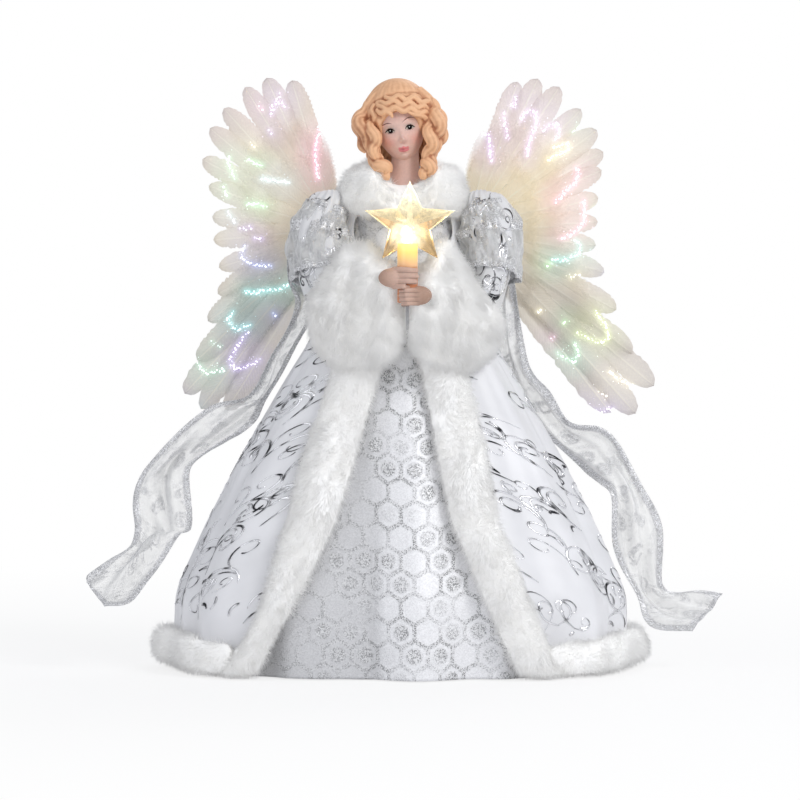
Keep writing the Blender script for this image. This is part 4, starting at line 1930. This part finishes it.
def candle_finish():
    """Amber acrylic: brown at the grip, yellow and lit from within at the top."""
    paint, tree, shader = finish_of("candle_amber", (0.9, 0.6, 0.2, 1), 0.28, Coat_Weight=0.4, Coat_Roughness=0.1)
    where = place_of(tree)
    height = plus(parts_of(where)[2], spread(noise(where, 160, 2), 0, 1, -0.001, 0.001))
    ramp = node(tree, "ValToRGB", in__0=spread(height, 0.2, 0.222))
    stops = ramp.color_ramp.elements
    stops[0].position, stops[0].color = 0.0, (0.55, 0.2, 0.08, 1)
    stops[1].position, stops[1].color = 1.0, (1, 0.86, 0.3, 1)
    for at, colour in ((0.36, (0.62, 0.3, 0.14, 1)), (0.4, (0.85, 0.5, 0.26, 1)), (0.7, (0.98, 0.68, 0.2, 1))):
        stops.new(at).color = colour
    amber, strength = ramp.outputs[0], spread(height, 0.208, 0.22, 0.1, 0.5)
    feed(shader, Base_Color=amber, Emission_Color=amber, Emission_Strength=strength)
    return paint


candle = bpy.data.meshes.new("candle")
with worked(candle) as bm:
    bmesh.ops.create_cone(bm, cap_ends=True, segments=72, radius1=5.2, radius2=5.2, depth=30)
    bmesh.ops.translate(bm, verts=bm.verts, vec=(3.3, -58, 205))
    rims = [e for e in bm.edges if e.calc_face_angle(0) > 1]
    bmesh.ops.bevel(bm, geom=rims, offset=0.6, segments=4, profile=0.5, affect="EDGES", material=-1)
    bmesh.ops.scale(bm, verts=bm.verts, vec=(MM, MM, MM))
keep("candle_stem", candle, candle_finish(), ["candle_tube"])


# %% Star
STAR = np.array([4.5, -58, 229.8])


def star_mesh():
    """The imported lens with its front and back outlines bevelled; the bevels are the second finish."""
    mesh = bpy.data.objects["star_lens"].data.copy()
    middle = Vector(STAR * MM)
    with worked(mesh) as bm:
        bmesh.ops.remove_doubles(bm, verts=bm.verts, dist=1e-6)
        bmesh.ops.dissolve_limit(bm, angle_limit=0.02, verts=bm.verts[:], edges=bm.edges[:])
        outline = []
        for edge in bm.edges:
            sides = sorted(abs(f.normal.y) for f in edge.link_faces)
            far = min((v.co - middle).length for v in edge.verts)
            if len(sides) == 2 and sides[0] < 0.2 and sides[1] > 0.4 and far > 0.0085:
                outline.append(edge)
        rims = bmesh.ops.bevel(bm, geom=outline, offset=0.0007, segments=2, profile=0.5, affect="EDGES", material=-1)
        for face in rims["faces"]:
            face.material_index = 1
    return mesh


def star_finish():
    """Clear acrylic: gold where the lamp's light is caught, browner in the lower arms, with fine flaws."""
    clear = {"Transmission_Weight": 0.85, "IOR": 1.49}
    paint, tree, shader = finish_of("star_acrylic", (1, 0.8, 0.45, 1), 0.03, **clear)
    where = place_of(tree)
    lamp = tuple((STAR + np.array([-1, 0, -6])) * MM)
    up = parts_of(where)[2]
    low, high = spread(up, 0.231, 0.215), spread(up, 0.232, 0.242)
    core = spread(vectors("DISTANCE", where, lamp, output="Value"), 0.0105, 0.002)
    gold = blend(low, (0.98, 0.84, 0.56, 1), (0.7, 0.48, 0.24, 1))
    body = blend(high, gold, (1, 0.97, 0.74, 1))
    lit = blend(core, body, (1, 0.95, 0.75, 1))
    flaws = spread(noise(where, 420, 3, 0.7), 0.4, 0.62, 0.55, 1.3)
    strength = plus(plus(times(high, 0.3), times(core, 0.8)), spread(low, 0, 1, 0.1, 0.02))
    feed(shader, Base_Color=lit, Emission_Color=lit, Emission_Strength=times(strength, flaws))
    return paint


def rim_finish():
    """The bevelled rims gather the light and shine almost white."""
    coat = {"Coat_Weight": 0.5, "Coat_Roughness": 0.05, "Emission_Color": (1, 0.9, 0.66, 1)}
    paint, tree, shader = finish_of("star_rim", (1, 0.93, 0.75, 1), 0.1, **coat)
    feed(shader, Emission_Strength=spread(noise(place_of(tree), 300, 2), 0.35, 0.65, 0.15, 0.75))
    return paint


star = keep("star_body", star_mesh(), star_finish(), ["star_lens"], smooth=False)
star.data.materials.append(rim_finish())


# %% [markdown]
# ## Finishes of the inner parts
# The cone, box, bracket, wires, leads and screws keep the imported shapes. Each gets the surface that its
# real counterpart has: moulded plastic with a fine grain, drawn steel, printed board, cell sleeves.

# %% Inner finishes
def plain_finish(name, colour, roughness, grain, strength, metallic=0):
    """A moulded or drawn surface: faint dull patches and a fine grain."""
    full, dull = (*colour, 1), (*(c * 0.82 for c in colour), 1)
    paint, tree, shader = finish_of(name, full, roughness, Metallic=metallic)
    where = place_of(tree)
    patch = spread(noise(where, 90, 3), 0.3, 0.7)
    feed(shader, Base_Color=blend(patch, full, dull), Roughness=spread(patch, 0, 1, roughness, roughness + 0.12))
    bump(shader, noise(where, grain, 2), strength, 0.0001)
    return paint


def cell_finish():
    """Printed sleeve: dark with a copper band at the top end of the cell."""
    dark = (0.03, 0.03, 0.035, 1)
    paint, tree, shader = finish_of("cell_sleeve", dark, 0.3)
    band = maths("GREATER_THAN", parts_of(place_of(tree))[2], 0.062)
    feed(shader, Base_Color=blend(band, dark, (0.55, 0.28, 0.12, 1)), Metallic=times(band, 0.8))
    return paint


# Each row: name, colour, roughness, scale of the grain, its strength, and how metallic it is
plain_rows = (
    ("cone_plastic", (0.78, 0.78, 0.76), 0.5, 1800, 0.25), ("drawn_steel", (0.55, 0.55, 0.56), 0.3, 3000, 0.2, 1),
    ("spring_brass", (0.72, 0.55, 0.25), 0.3, 2500, 0.2, 1), ("fibre_sheath", (0.8, 0.82, 0.85), 0.25, 1500, 0.1),
    ("clear_lead", (0.4, 0.4, 0.41), 0.35, 1500, 0.1), ("lead_sheath", (0.12, 0.12, 0.125), 0.45, 1500, 0.15),
    ("switch_knob", (0.05, 0.05, 0.055), 0.45, 2200, 0.25), ("printed_board", (0.03, 0.22, 0.09), 0.4, 900, 0.2),
    ("lamp_shell", (0.9, 0.9, 0.88), 0.35, 1200, 0.1),
)
inner = {row[0]: plain_finish(*row) for row in plain_rows}
inner["cell_sleeve"] = cell_finish()
warm_light = {"Emission_Color": (1, 0.82, 0.45, 1), "Emission_Strength": 6}
inner["lamp_glow"] = finish_of("lamp_glow", (1, 0.9, 0.6, 1), 0.3, **warm_light)[0]
print("inner finishes", len(inner))


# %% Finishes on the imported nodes
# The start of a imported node's name, and its finish; the ribs, wires and bracket are of steel
finish_starts = {
    "cell_": "cell_sleeve",
    "contact_": "spring_brass",
    "ferrule": "spring_brass",
    "fibre_bundle": "fibre_sheath",
    "circuit_board": "printed_board",
    "switch_knob": "switch_knob",
    "star_led": "lamp_glow",
    "star_lead": "clear_lead",
    "power_lead": "lead_sheath",
    "rgb_led": "lamp_shell",
    **dict.fromkeys(("body_cone", "battery_", "lamp_"), "cone_plastic"),
}
for name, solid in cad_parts.items():
    finish = next((finish for start, finish in finish_starts.items() if name.startswith(start)), "drawn_steel")
    solid.data.materials.clear()
    solid.data.materials.append(inner[finish])
print("packed nodes painted", len(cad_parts))
